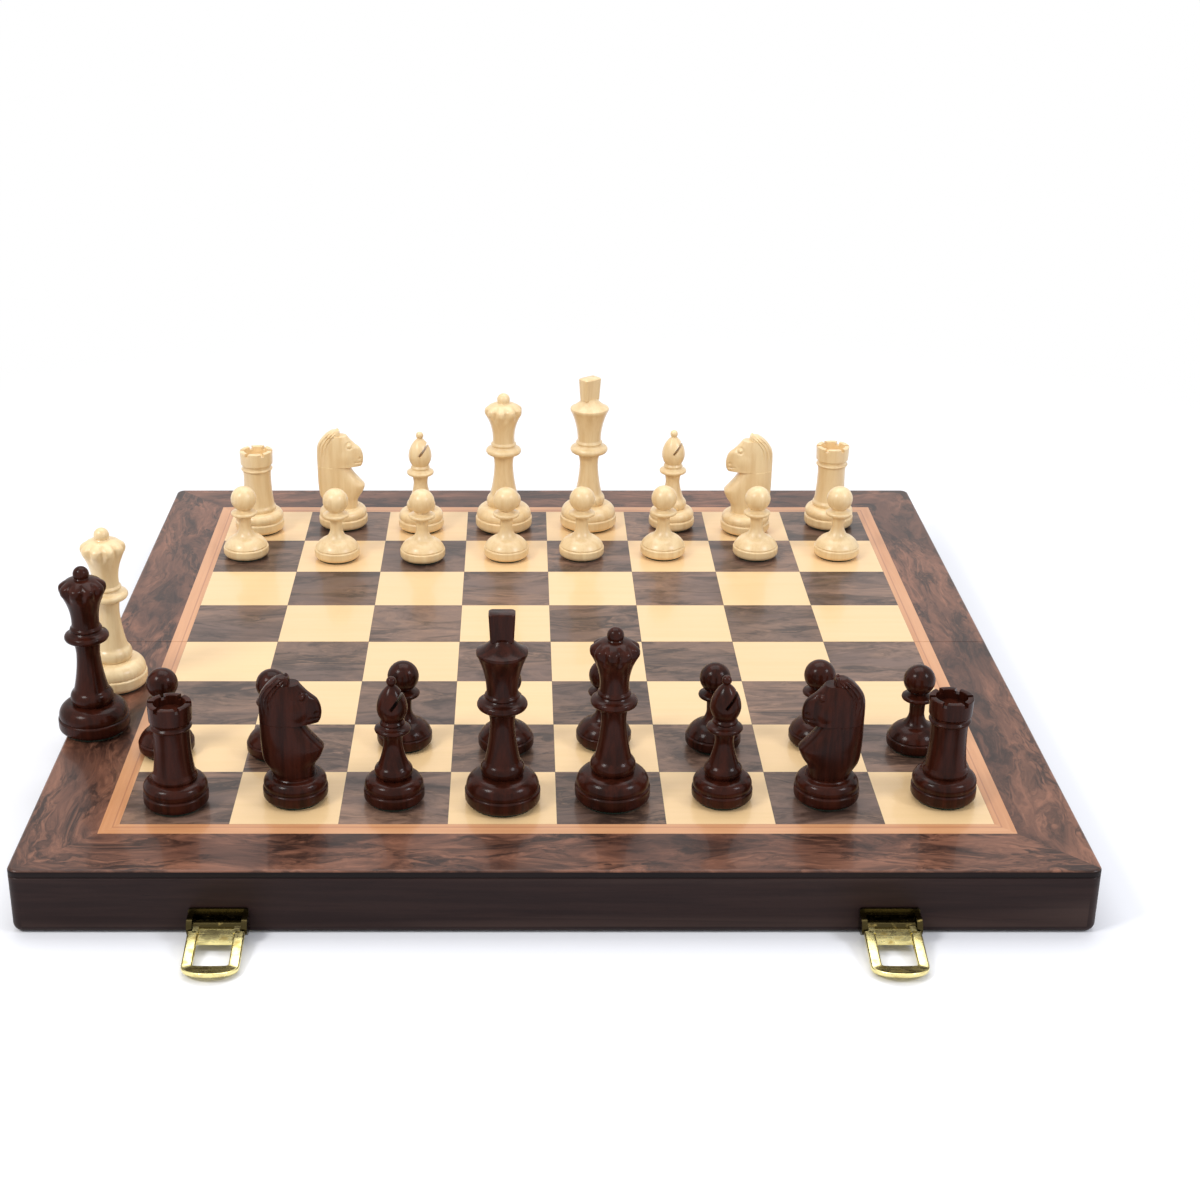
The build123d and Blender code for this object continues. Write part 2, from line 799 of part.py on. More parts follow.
with BuildPart() as magnet:
    with BuildSketch(Plane.XY.offset(felt_thickness)):
        Circle(magnet_radius)
    extrude(amount=magnet_thickness)

bases = {
    "king": king_base,
    "queen": queen_base,
    "bishop": bishop_base,
    "knight": knight_base,
    "rook": rook_base,
    "pawn": pawn_base,
}
bodies = {
    "king": king_body(),
    "queen": queen_body(),
    "bishop": bishop_body(),
    "knight": knight_body(),
    "rook": rook_body(),
    "pawn": pawn_body(),
}
felts = {kind: felt_disc(base) for kind, base in bases.items()}


def stand(name, kind, x, y, turn=0):
    """Stands a piece on the board: its wooden body, its magnet and its felt."""
    place = Location((x, y, half_height), (0, 0, turn))
    write(name, *[place * solid for solid in (bodies[kind], magnet.part, felts[kind])])


def stand_row(shade, kinds, nudges, rank):
    """Stands one row of pieces, each near the centre of its square. The knights face inwards."""
    for file, (kind, nudge) in enumerate(zip(kinds, nudges)):
        x = field_left + (file + 0.5) * square + nudge[0]
        y = (rank + 0.5) * square - field_half + nudge[1]
        turn = 180 if kind == "knight" and x > 0 else 0
        if (shade, kind) == ("light", "king"):
            turn = light_king_turn
        stand(f"{shade}_{kind}_{file_letters[file]}", kind, x, y, turn)


for side, half in ((front, "front"), (back, "back")):
    blank = half_blank(side)
    write(f"{half}_frame_rails", *frame_rails(side, blank))
    write(f"{half}_panel", top_panel(side, blank))
    write(f"{half}_steel_sheet", steel_sheet(side))
    write(f"{half}_border_veneer", *border_veneer(side, blank))
    write(f"{half}_inlay_strips", *inlay_strips(side))
    write(f"{half}_dark_squares", *square_veneers(side, 0))
    write(f"{half}_light_squares", *square_veneers(side, 1))
    write(f"{half}_lining", tray_lining(side))
    leaves = [hinge_leaf(side, hinge) for hinge in (-hinge_spacing / 2, hinge_spacing / 2)]
    write(f"{half}_hinge_leaves", *leaves)
    write(f"{half}_screws", *screws(side))

latch_places = (-latch_spacing / 2, latch_spacing / 2)
write("hinge_pins", *[hinge_pin(hinge) for hinge in (-hinge_spacing / 2, hinge_spacing / 2)])
write("latch_brackets", *[latch_bracket(x) for x in latch_places])
write("latch_pins", *[latch_pin(x) for x in latch_places])
write("left_hasp", hasp(latch_places[0]))
write("right_hasp", hasp(latch_places[1]))
write("keeper_plates", *[keeper_plate(x) for x in latch_places])

last_rank = field_squares - 1
stand_row("light", light_back_row, light_back_nudges, last_rank)
stand_row("light", ["pawn"] * field_squares, light_pawn_nudges, last_rank - 1)
stand_row("dark", ["pawn"] * field_squares, dark_pawn_nudges, 1)
stand_row("dark", dark_back_row, dark_back_nudges, 0)
stand("light_spare_queen", "queen", spare_edge_distance - half_width, light_spare_y)
stand("dark_spare_queen", "queen", spare_edge_distance - half_width, dark_spare_y)
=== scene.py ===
"""A magnetic folding chess set: the dressed model, laid out as an add-on and run as a script."""

from math import atan2, cos, pi, radians, sin, sqrt

import bmesh
import bpy
from bpy.props import FloatProperty, FloatVectorProperty, IntProperty, PointerProperty
from mathutils import Matrix, Vector


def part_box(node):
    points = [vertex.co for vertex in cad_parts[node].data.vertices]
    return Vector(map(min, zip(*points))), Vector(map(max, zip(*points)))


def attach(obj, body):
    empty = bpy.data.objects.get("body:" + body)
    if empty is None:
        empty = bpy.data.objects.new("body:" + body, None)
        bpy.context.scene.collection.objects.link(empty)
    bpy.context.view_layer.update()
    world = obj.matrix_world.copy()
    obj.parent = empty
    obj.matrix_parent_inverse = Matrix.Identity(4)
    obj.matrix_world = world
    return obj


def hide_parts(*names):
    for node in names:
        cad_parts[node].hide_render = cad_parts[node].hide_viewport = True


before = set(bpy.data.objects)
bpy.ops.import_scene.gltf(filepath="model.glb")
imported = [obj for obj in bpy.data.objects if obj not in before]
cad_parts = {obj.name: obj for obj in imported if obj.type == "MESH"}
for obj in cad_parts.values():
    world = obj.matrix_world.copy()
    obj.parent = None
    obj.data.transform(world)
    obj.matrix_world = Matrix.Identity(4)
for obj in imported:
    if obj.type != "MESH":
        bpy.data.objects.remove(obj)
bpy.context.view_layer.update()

bl_info = {
    "name": "Magnetic folding chess set",
    "version": (1, 0, 0),
    "blender": (4, 5, 0),
    "location": "View3D > Sidebar > Chess set",
    "description": "Dresses the folding board and its turned pieces",
    "category": "Object",
}

MM = 0.001
HAIR = 0.01 * MM

# The thin dark line let into the inlay: its distance from the field's middle, and its width
INLAY_LINE = 164.0 * MM
INLAY_LINE_WIDTH = 0.45 * MM

# Colours that a user has no need to change
INLAY_LINE_COLOUR = (0.26, 0.085, 0.045, 1.0)
GLUE_COLOUR = (0.03, 0.02, 0.015, 1.0)
DUST_COLOUR = (0.45, 0.42, 0.38, 1.0)
CASE_PORE_COLOUR = (0.006, 0.004, 0.004, 1.0)
# Paler colour on the case's sharp edges: wear, together with a painted highlight along the edges
CASE_EDGE_WEAR_AND_GLINT_COLOUR = (0.10, 0.062, 0.050, 1.0)
STEEL_STREAK_COLOUR = (0.34, 0.35, 0.36, 1.0)
PAPER_GRAIN_COLOUR = (0.80, 0.80, 0.80, 1.0)
WHITE = (1.0, 1.0, 1.0, 1.0)

# How steep an edge stays sharp when a mesh is shaded smooth
PIECE_CREASE = radians(38)
HASP_CREASE = radians(40)

# The floor's half side, and where it begins and ends to fade into the backdrop, in metres
FLOOR_HALF = 3.0
FLOOR_FADE = (0.34, 0.62)
FILM_WIDTH = 36.0

# The lamps: where each stands, what it points at, its sides in metres, its watts and its colour
LAMPS = {
    "key_left": ((-0.75, -0.55, 0.95), (0, 0, 0.03), (0.32, 0.32), 6.5, (1.0, 0.985, 0.96)),
    "fill_right": ((0.85, -0.50, 0.80), (0, 0, 0.03), (0.30, 0.30), 4.0, (0.90, 0.93, 1.0)),
    "top": ((0.0, 0.35, 1.3), (0, 0, 0), (1.2, 0.9), 9.0, (1.0, 1.0, 1.0)),
}

# The nodes of each kind of piece
KINDS = ("king", "queen", "bishop", "knight", "rook", "pawn")
PIECE_NODES = {kind: sorted(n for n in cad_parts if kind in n.split("_")) for kind in KINDS}
HALVES = ("front", "back")


def node_middle(name):
    """Where a node stands: the middle of its box in x and y, and its lowest point."""
    low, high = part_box(name)
    return Vector(((low[0] + high[0]) / 2, (low[1] + high[1]) / 2, low[2]))


class ChessBoardProps(bpy.types.PropertyGroup):
    """Sizes and colours of the board's veneers and of the case."""

    square: FloatProperty(
        name="Square", description="Side of one square", default=40.45 * MM, unit="LENGTH", precision=4
    )
    field_off_centre: FloatProperty(
        name="Field off centre",
        description="How far the field sits to the right of the board's middle",
        default=1.5 * MM, unit="LENGTH", precision=4,
    )
    glue_line: FloatProperty(
        name="Glue line", description="Width of the dark line between two veneers",
        default=0.16 * MM, unit="LENGTH", precision=5,
    )
    light_square: FloatVectorProperty(
        name="Light squares", description="Pale maple veneer",
        subtype="COLOR", default=(0.80, 0.555, 0.295),
    )
    light_square_shade: FloatVectorProperty(
        name="Light squares, shade", description="The darker streaks of the pale veneer",
        subtype="COLOR", default=(0.74, 0.515, 0.250),
    )
    dark_square: FloatVectorProperty(
        name="Dark squares", description="Grey-brown walnut veneer",
        subtype="COLOR", default=(0.125, 0.076, 0.060),
    )
    dark_square_shade: FloatVectorProperty(
        name="Dark squares, shade", description="The darker clouds of the walnut veneer",
        subtype="COLOR", default=(0.030, 0.016, 0.012),
    )
    dark_square_glow: FloatVectorProperty(
        name="Dark squares, glow", description="The warm streaks of the walnut veneer",
        subtype="COLOR", default=(0.27, 0.155, 0.100),
    )
    inlay: FloatVectorProperty(
        name="Inlay", description="Orange-brown veneer of the inlaid strips",
        subtype="COLOR", default=(0.54, 0.245, 0.105),
    )
    inlay_shade: FloatVectorProperty(
        name="Inlay, shade", description="Darker streaks of the inlaid strips",
        subtype="COLOR", default=(0.40, 0.150, 0.055),
    )
    inlay_glow: FloatVectorProperty(
        name="Inlay, glow", description="Pale pink patches of the inlaid strips",
        subtype="COLOR", default=(0.72, 0.40, 0.22),
    )
    border: FloatVectorProperty(
        name="Border", description="Brown burl veneer of the border",
        subtype="COLOR", default=(0.084, 0.034, 0.022),
    )
    border_shade: FloatVectorProperty(
        name="Border, shade", description="Dark clouds of the burl",
        subtype="COLOR", default=(0.013, 0.0048, 0.0036),
    )
    border_glow: FloatVectorProperty(
        name="Border, glow", description="Reddish streaks of the burl",
        subtype="COLOR", default=(0.29, 0.125, 0.075),
    )
    case_wood: FloatVectorProperty(
        name="Case", description="Dark stained wood of the case's walls",
        subtype="COLOR", default=(0.016, 0.0070, 0.0065),
    )
    case_wood_streak: FloatVectorProperty(
        name="Case, streaks", description="Lighter streaks of the case's walls",
        subtype="COLOR", default=(0.032, 0.0150, 0.0125),
    )
    # Painted shade: the panels' edges are near-black to stand for the dark band just under the board's
    # rounded top edge
    painted_shade_panel_edge: FloatVectorProperty(
        name="Panel edge", description="Near-black edge of the panels under the veneer",
        subtype="COLOR", default=(0.006, 0.003, 0.003),
    )
    lining: FloatVectorProperty(
        name="Lining", description="Felt inside the trays",
        subtype="COLOR", default=(0.020, 0.085, 0.040),
    )


class ChessPieceProps(bpy.types.PropertyGroup):
    """Sizes and colours of the chess pieces."""

    segments: IntProperty(
        name="Segments", description="Facets around each turned piece", default=64, min=24, max=160
    )
    felt_thickness: FloatProperty(
        name="Felt", description="Thickness of the felt under each piece",
        default=0.8 * MM, unit="LENGTH", precision=4,
    )
    boxwood: FloatVectorProperty(
        name="Boxwood", description="Light pieces", subtype="COLOR", default=(0.85, 0.660, 0.380)
    )
    boxwood_streak: FloatVectorProperty(
        name="Boxwood, streaks", description="Darker streaks of the light pieces",
        subtype="COLOR", default=(0.69, 0.460, 0.215),
    )
    rosewood: FloatVectorProperty(
        name="Rosewood", description="Dark pieces", subtype="COLOR", default=(0.0125, 0.0030, 0.0015)
    )
    rosewood_streak: FloatVectorProperty(
        name="Rosewood, streaks", description="Red streaks of the dark pieces",
        subtype="COLOR", default=(0.058, 0.0125, 0.0065),
    )
    # Partly the felt's own green, partly painted shade: darkened near-black for the shadow under each
    # piece
    felt: FloatVectorProperty(
        name="Felt colour", description="Felt under the pieces",
        subtype="COLOR", default=(0.010, 0.026, 0.015),
    )


class ChessFittingProps(bpy.types.PropertyGroup):
    """Colours of the metal fittings."""

    brass: FloatVectorProperty(
        name="Brass", description="Polished brass plate", subtype="COLOR", default=(0.90, 0.79, 0.36)
    )
    brass_stain: FloatVectorProperty(
        name="Brass, stain", description="Tarnish in the brass",
        subtype="COLOR", default=(0.50, 0.37, 0.12),
    )
    # Painted shade: brass darkened near-black so that the brackets, pins, screws and hasp knuckles look
    # shaded, with dark reflections
    brass_painted_shade: FloatVectorProperty(
        name="Brass, aged", description="Darkened brass of the latch brackets",
        subtype="COLOR", default=(0.055, 0.042, 0.016),
    )
    steel: FloatVectorProperty(
        name="Steel", description="Sheet under the squares", subtype="COLOR", default=(0.55, 0.56, 0.58)
    )


class ChessStageProps(bpy.types.PropertyGroup):
    """Camera, lamps and floor."""

    camera_place: FloatVectorProperty(
        name="Camera", description="Where the camera stands",
        subtype="TRANSLATION", unit="LENGTH", default=(-12.7 * MM, -798.7 * MM, 392.5 * MM),
    )
    camera_pitch: FloatProperty(
        name="Pitch", description="How far the camera looks down",
        subtype="ANGLE", default=radians(23.44),
    )
    lens: FloatProperty(name="Lens", description="Focal length on a 36 mm film", default=59.23)
    shift_x: FloatProperty(
        name="Shift", description="The photograph's framing to the right of the lens's axis",
        default=0.0678,
    )
    floor_colour: FloatVectorProperty(
        name="Floor", description="Pale paper that the set stands on",
        subtype="COLOR", default=(0.85, 0.86, 0.905),
    )
    ambient: FloatProperty(
        name="Ambient", description="Strength of the soft light from all round", default=0.62, min=0.0
    )


class Graph:
    """A node tree that is filled by short calls."""

    def __init__(self, tree):
        self.tree = tree

    def fill(self, node, inputs):
        """Gives a node its inputs, which are values, or outputs to link from."""
        for key, value in inputs.items():
            if isinstance(value, bpy.types.NodeSocket):
                self.tree.links.new(value, node.inputs[key])
            else:
                node.inputs[key].default_value = value

    def node(self, kind, inputs=None, **settings):
        """Adds a node with its settings and inputs."""
        node = self.tree.nodes.new(kind)
        for key, value in settings.items():
            setattr(node, key, value)
        self.fill(node, inputs or {})
        return node

    def math(self, operation, first, second=0.0, clamp=False):
        node = self.node("ShaderNodeMath", {0: first, 1: second}, operation=operation, use_clamp=clamp)
        return node.outputs[0]

    def vector(self, operation, first, second):
        return self.node("ShaderNodeVectorMath", {0: first, 1: second}, operation=operation).outputs[0]

    def scale(self, vector, factor):
        node = self.node("ShaderNodeVectorMath", {0: vector, "Scale": factor}, operation="SCALE")
        return node.outputs[0]

    def mix(self, factor, first, second, blend="MIX"):
        inputs = {0: factor, 6: first, 7: second}
        return self.node("ShaderNodeMix", inputs, data_type="RGBA", blend_type=blend).outputs[2]

    def tint(self, colour, mask, strength, other):
        """Mixes another colour into a colour where a mask says, up to a strength."""
        return self.mix(self.math("MULTIPLY", mask, strength), colour, other)

    def remap(self, value, low, high, to_low=0.0, to_high=1.0):
        inputs = {0: value, 1: low, 2: high, 3: to_low, 4: to_high}
        return self.node("ShaderNodeMapRange", inputs, interpolation_type="SMOOTHSTEP").outputs[0]

    def noise(self, vector, scale, detail=4.0, roughness=0.55):
        inputs = {"Vector": vector, "Scale": scale, "Detail": detail, "Roughness": roughness}
        return self.node("ShaderNodeTexNoise", inputs).outputs


def rgba(colour):
    """A colour property as the four numbers that a socket takes."""
    return (*colour[:3], 1.0)


VECTOR = "NodeSocketVector"
NUMBER = "NodeSocketFloat"


def shared_group(name, inputs, outputs):
    """Starts a node group with named sockets. Returns None and the group if it is built already."""
    old = bpy.data.node_groups.get(name)
    if old:
        return None, old
    tree = bpy.data.node_groups.new(name, "ShaderNodeTree")
    for socket, kind, value in inputs:
        item = tree.interface.new_socket(name=socket, in_out="INPUT", socket_type=kind)
        if value is not None:
            item.default_value = value
    for socket, kind in outputs:
        tree.interface.new_socket(name=socket, in_out="OUTPUT", socket_type=kind)
    return Graph(tree), tree


def long_grain_group():
    """Straight-grained wood: soft streaks along one direction, and fine dark pores."""
    graph, tree = shared_group(
        "Long Grain",
        [
            ("Coordinates", VECTOR, None),
            ("Frequency", VECTOR, (60.0, 60.0, 6.0)),
            ("Warp", NUMBER, 0.6),
        ],
        [("Streaks", NUMBER), ("Pores", NUMBER), ("Cloud", NUMBER)],
    )
    if not graph:
        return tree
    given = graph.node("NodeGroupInput").outputs
    place = graph.vector("MULTIPLY", given["Coordinates"], given["Frequency"])
    sway = graph.noise(place, 0.35, 2.0)["Color"]
    place = graph.vector("ADD", place, graph.scale(sway, given["Warp"]))
    streaks = graph.noise(place, 1.0, 6.0, 0.62)["Fac"]
    fine = graph.noise(place, 7.0, 3.0, 0.7)["Fac"]
    cloud = graph.noise(place, 0.22, 3.0)["Fac"]
    put = {
        "Streaks": graph.remap(streaks, 0.34, 0.68),
        "Pores": graph.remap(fine, 0.60, 0.72),
        "Cloud": graph.remap(cloud, 0.32, 0.68),
    }
    graph.node("NodeGroupOutput", put)
    return tree


def burl_figure_group():
    """Burl veneer: soft flames that run one way, broad clouds, fine fibres and a few knots."""
    graph, tree = shared_group(
        "Burl Figure",
        [
            ("Coordinates", VECTOR, None),
            ("Frequency", VECTOR, (50.0, 170.0, 50.0)),
            ("Swirl", NUMBER, 1.6),
        ],
        [("Flames", NUMBER), ("Clouds", NUMBER), ("Fibres", NUMBER), ("Knots", NUMBER)],
    )
    if not graph:
        return tree
    given = graph.node("NodeGroupInput").outputs
    place = graph.vector("MULTIPLY", given["Coordinates"], given["Frequency"])
    sway = graph.noise(place, 0.30, 2.0)["Color"]
    bent = graph.vector("ADD", place, graph.scale(sway, graph.math("MULTIPLY", given["Swirl"], 2.2)))
    ripple = graph.noise(bent, 1.3, 2.0)["Color"]
    curled = graph.vector("ADD", bent, graph.scale(ripple, given["Swirl"]))
    drawn = graph.vector("MULTIPLY", curled, (0.7, 3.2, 3.2))
    knots = graph.node("ShaderNodeTexVoronoi", {"Vector": curled, "Scale": 0.42}, feature="SMOOTH_F1")
    put = {
        "Flames": graph.remap(graph.noise(curled, 0.8, 6.0, 0.62)["Fac"], 0.38, 0.64),
        "Clouds": graph.remap(graph.noise(bent, 0.33, 3.0)["Fac"], 0.36, 0.62),
        "Fibres": graph.remap(graph.noise(drawn, 1.0, 5.0, 0.68)["Fac"], 0.44, 0.70),
        "Knots": graph.remap(knots.outputs["Distance"], 0.20, 0.03),
    }
    graph.node("NodeGroupOutput", put)
    return tree


def strip_direction_group():
    """Turns the coordinates on the left and right strips, so that the figure runs along every strip."""
    graph, tree = shared_group(
        "Strip Direction",
        [("Coordinates", VECTOR, None), ("Offset", NUMBER, 0.0)],
        [("Along", VECTOR), ("Distance", NUMBER)],
    )
    if not graph:
        return tree
    given = graph.node("NodeGroupInput").outputs
    axes = graph.node("ShaderNodeSeparateXYZ", {0: given["Coordinates"]}).outputs
    across = graph.math("ABSOLUTE", graph.math("SUBTRACT", axes["X"], given["Offset"]))
    ahead = graph.math("ABSOLUTE", axes["Y"])
    beside = graph.math("GREATER_THAN", across, ahead)
    swapped = {"X": axes["Y"], "Y": axes["X"], "Z": axes["Z"]}
    turned = graph.node("ShaderNodeCombineXYZ", swapped).outputs[0]
    choice = {0: beside, 4: given["Coordinates"], 5: turned}
    chosen = graph.node("ShaderNodeMix", choice, data_type="VECTOR").outputs[1]
    distance = graph.math("MAXIMUM", across, ahead)
    graph.node("NodeGroupOutput", {"Along": chosen, "Distance": distance})
    return tree


def veneer_tiles_group():
    """Cuts a surface into square tiles: each gets its own stretch of veneer, a tone and a glue line."""
    graph, tree = shared_group(
        "Veneer Tiles",
        [
            ("Coordinates", VECTOR, None),
            ("Pitch", NUMBER, 0.04),
            ("Offset", NUMBER, 0.0),
            ("Line Width", NUMBER, 0.0002),
        ],
        [("Shifted", VECTOR), ("Tone", NUMBER), ("Line", NUMBER)],
    )
    if not graph:
        return tree
    given = graph.node("NodeGroupInput").outputs
    axes = graph.node("ShaderNodeSeparateXYZ", {0: given["Coordinates"]}).outputs
    across = graph.math("DIVIDE", graph.math("SUBTRACT", axes["X"], given["Offset"]), given["Pitch"])
    along = graph.math("DIVIDE", axes["Y"], given["Pitch"])
    corner = {"X": graph.math("FLOOR", across), "Y": graph.math("FLOOR", along), "Z": 3.0}
    cell = graph.node("ShaderNodeCombineXYZ", corner)
    chance = graph.node("ShaderNodeTexWhiteNoise", {"Vector": cell.outputs[0]}, noise_dimensions="3D")
    moved = graph.vector("ADD", given["Coordinates"], graph.scale(chance.outputs["Color"], 5.0))
    edges = []
    for value in (across, along):
        part = graph.math("FRACT", value)
        edges.append(graph.math("MINIMUM", part, graph.math("SUBTRACT", 1.0, part)))
    nearest = graph.math("MULTIPLY", graph.math("MINIMUM", *edges), given["Pitch"])
    line = graph.math("LESS_THAN", nearest, graph.math("MULTIPLY", given["Line Width"], 0.5))
    graph.node("NodeGroupOutput", {"Shifted": moved, "Tone": chance.outputs["Value"], "Line": line})
    return tree


def lacquer_group():
    """A lacquered skin: a roughness that wanders a little, faint orange peel and settled dust."""
    graph, tree = shared_group(
        "Lacquer Skin",
        [("Coordinates", VECTOR, None), ("Roughness", NUMBER, 0.2), ("Wander", NUMBER, 0.08)],
        [("Roughness", NUMBER), ("Peel", NUMBER), ("Dust", NUMBER)],
    )
    if not graph:
        return tree
    given = graph.node("NodeGroupInput").outputs
    smear = graph.noise(given["Coordinates"], 55.0, 4.0)["Fac"]
    reach = graph.math("MULTIPLY", given["Wander"], 2.0)
    shift = graph.math("MULTIPLY", graph.math("SUBTRACT", smear, 0.5), reach)
    specks = graph.noise(given["Coordinates"], 2600.0, 1.0)["Fac"]
    put = {
        "Roughness": graph.math("ADD", given["Roughness"], shift, clamp=True),
        "Peel": graph.noise(given["Coordinates"], 420.0, 2.0)["Fac"],
        "Dust": graph.remap(specks, 0.74, 0.80),
    }
    graph.node("NodeGroupOutput", put)
    return tree


def empty_graph(holder):
    """The node tree of a new material or world, cleared."""
    holder.use_nodes = True
    holder.node_tree.nodes.clear()
    return Graph(holder.node_tree)


def start_material(name):
    """A new material with its output, shader and object coordinates. Returns them and its graph."""
    material = bpy.data.materials.new(name)
    graph = empty_graph(material)
    shader = graph.node("ShaderNodeBsdfPrincipled")
    graph.node("ShaderNodeOutputMaterial", {"Surface": shader.outputs[0]})
    place = graph.node("ShaderNodeTexCoord").outputs["Object"]
    return material, graph, shader, place


def spaced(values):
    """Keywords as socket names, where underscores stand for spaces."""
    return {key.replace("_", " "): value for key, value in values.items()}


def feed(graph, shader, **sockets):
    """Links or sets the shader's sockets."""
    graph.fill(shader, spaced(sockets))


def group_node(graph, tree, **inputs):
    """Places a shared group in a material."""
    return graph.node("ShaderNodeGroup", spaced(inputs), node_tree=tree).outputs


def bump(graph, height, strength, distance):
    inputs = {"Height": height, "Strength": strength, "Distance": distance}
    return graph.node("ShaderNodeBump", inputs).outputs[0]


def lacquer_height(graph, skin, pits, peel, depth):
    """The lacquer's height: its orange peel, less the pits that it doesn't fill."""
    raised = graph.math("MULTIPLY", skin["Peel"], peel)
    return graph.math("SUBTRACT", raised, graph.math("MULTIPLY", pits, depth))


def veneer_material(
    name, kind, colours, frequency, roughness, coat, gloss, offset=0.0, tiles=None, variation=0.0
):
    """Lacquered veneer. Kind is grain or burl; colours are the body, the shade and the glow.
    Tiles are the sizes that cut it into squares; without them it is cut into strips."""
    material, graph, shader, place = start_material(name)
    body, shade, glow = (rgba(c) for c in colours)
    if tiles:
        cells = group_node(graph, veneer_tiles_group(), Coordinates=place, **tiles)
        where = cells["Shifted"]
    else:
        strips = group_node(graph, strip_direction_group(), Coordinates=place, Offset=offset)
        where = strips["Along"]
    drawn = {"Coordinates": where, "Frequency": frequency}
    if kind == "grain":
        figure = group_node(graph, long_grain_group(), **drawn, Warp=0.9)
        colour = graph.tint(body, figure["Streaks"], 0.55, shade)
        colour = graph.tint(colour, figure["Cloud"], 0.45, glow)
        colour = graph.tint(colour, figure["Pores"], 0.20, shade)
        if not tiles:
            apart = graph.math("ABSOLUTE", graph.math("SUBTRACT", strips["Distance"], INLAY_LINE))
            stripe = graph.remap(apart, INLAY_LINE_WIDTH, 0.2 * INLAY_LINE_WIDTH)
            colour = graph.tint(colour, stripe, 0.5, INLAY_LINE_COLOUR)
        pits = figure["Pores"]
    else:
        figure = group_node(graph, burl_figure_group(), **drawn, Swirl=1.5)
        cloudy = graph.remap(figure["Clouds"], 0.0, 1.0, 0.25, 1.0)
        lit = graph.math("MULTIPLY", figure["Fibres"], cloudy)
        colour = graph.tint(body, figure["Clouds"], 0.45, glow)
        colour = graph.tint(colour, figure["Flames"], 0.90, shade)
        colour = graph.tint(colour, lit, 0.70, glow)
        colour = graph.tint(colour, figure["Knots"], 0.60, shade)
        pits = figure["Knots"]
    if tiles:
        level = graph.remap(cells["Tone"], 0.0, 1.0, 1.0 - variation, 1.0 + variation)
        grey = graph.node("ShaderNodeCombineColor", {0: level, 1: level, 2: level}).outputs[0]
        colour = graph.mix(1.0, colour, grey, "MULTIPLY")
        colour = graph.tint(colour, cells["Line"], 0.75, GLUE_COLOUR)
    skin = group_node(graph, lacquer_group(), Coordinates=place, Roughness=roughness, Wander=0.05)
    colour = graph.tint(colour, skin["Dust"], 0.12, DUST_COLOUR)
    low = lacquer_height(graph, skin, pits, 0.25, 0.20)
    feed(graph, shader, Base_Color=colour, Roughness=skin["Roughness"], Coat_Weight=coat,
         Coat_Roughness=0.07, Specular_IOR_Level=gloss, IOR=1.5, Normal=bump(graph, low, 0.10, 0.0004))
    return material


def turned_wood_material(
    name, colour_main, colour_streak, roughness, coat, coat_roughness, gloss, contrast
):
    """Wood of the turned pieces: grain that runs up the piece, under a coat of lacquer."""
    material, graph, shader, place = start_material(name)
    streak = rgba(colour_streak)
    upright = (320.0, 320.0, 26.0)
    grain = group_node(graph, long_grain_group(), Coordinates=place, Frequency=upright, Warp=1.1)
    colour = graph.tint(rgba(colour_main), grain["Streaks"], contrast, streak)
    colour = graph.tint(colour, grain["Cloud"], contrast * 0.45, streak)
    colour = graph.tint(colour, grain["Pores"], contrast * 0.5, streak)
    skin = group_node(graph, lacquer_group(), Coordinates=place, Roughness=roughness, Wander=0.06)
    low = lacquer_height(graph, skin, grain["Pores"], 0.3, 0.3)
    feed(graph, shader, Base_Color=colour, Roughness=skin["Roughness"], Coat_Weight=coat,
         Coat_Roughness=coat_roughness, Specular_IOR_Level=gloss, IOR=1.5,
         Normal=bump(graph, low, 0.15, 0.0004))
    return material


def case_wood_material(name, colour_main, colour_streak, roughness, coat, gloss):
    """Dark stained wood of the case, with fine dark pores, and sharp edges painted paler in patches:
    partly wear, partly a painted highlight.
    """
    material, graph, shader, place = start_material(name)
    cut = (16.0, 16.0, 300.0)
    grain = group_node(graph, long_grain_group(), Coordinates=place, Frequency=cut, Warp=1.3)
    colour = graph.tint(rgba(colour_main), grain["Streaks"], 0.55, rgba(colour_streak))
    colour = graph.tint(colour, grain["Pores"], 0.5, CASE_PORE_COLOUR)
    edge = graph.node("ShaderNodeNewGeometry").outputs["Pointiness"]
    # Sharp edges painted paler in patches: wear together with a painted edge highlight
    edge_wear_and_glint = graph.math("MULTIPLY", graph.remap(edge, 0.53, 0.62), graph.remap(grain["Cloud"], 0.2, 0.9))
    colour = graph.tint(colour, edge_wear_and_glint, 0.35, CASE_EDGE_WEAR_AND_GLINT_COLOUR)
    skin = group_node(graph, lacquer_group(), Coordinates=place, Roughness=roughness, Wander=0.08)
    feed(graph, shader, Base_Color=colour, Roughness=skin["Roughness"], Coat_Weight=coat,
         Coat_Roughness=0.20, Specular_IOR_Level=gloss, IOR=1.5,
         Normal=bump(graph, grain["Pores"], 0.12, 0.0004))
    return material


def brass_material(name, colour, stain, tarnish_low, tarnish_high):
    """Brass plate with fine rubbing marks and tarnish, which starts and is full at two levels."""
    material, graph, shader, place = start_material(name)
    marks = (90.0, 1800.0, 1800.0)
    rubbed = group_node(graph, long_grain_group(), Coordinates=place, Frequency=marks, Warp=0.3)
    spots = graph.noise(place, 240.0, 5.0)["Fac"]
    shade = graph.mix(graph.remap(spots, tarnish_low, tarnish_high), rgba(colour), rgba(stain))
    matt = graph.remap(spots, 0.3, 0.8, 0.17, 0.30)
    rough = graph.math("ADD", graph.math("MULTIPLY", rubbed["Streaks"], 0.08), matt)
    feed(graph, shader, Base_Color=shade, Metallic=1.0, Roughness=rough,
         Normal=bump(graph, rubbed["Streaks"], 0.05, 0.00005))
    return material


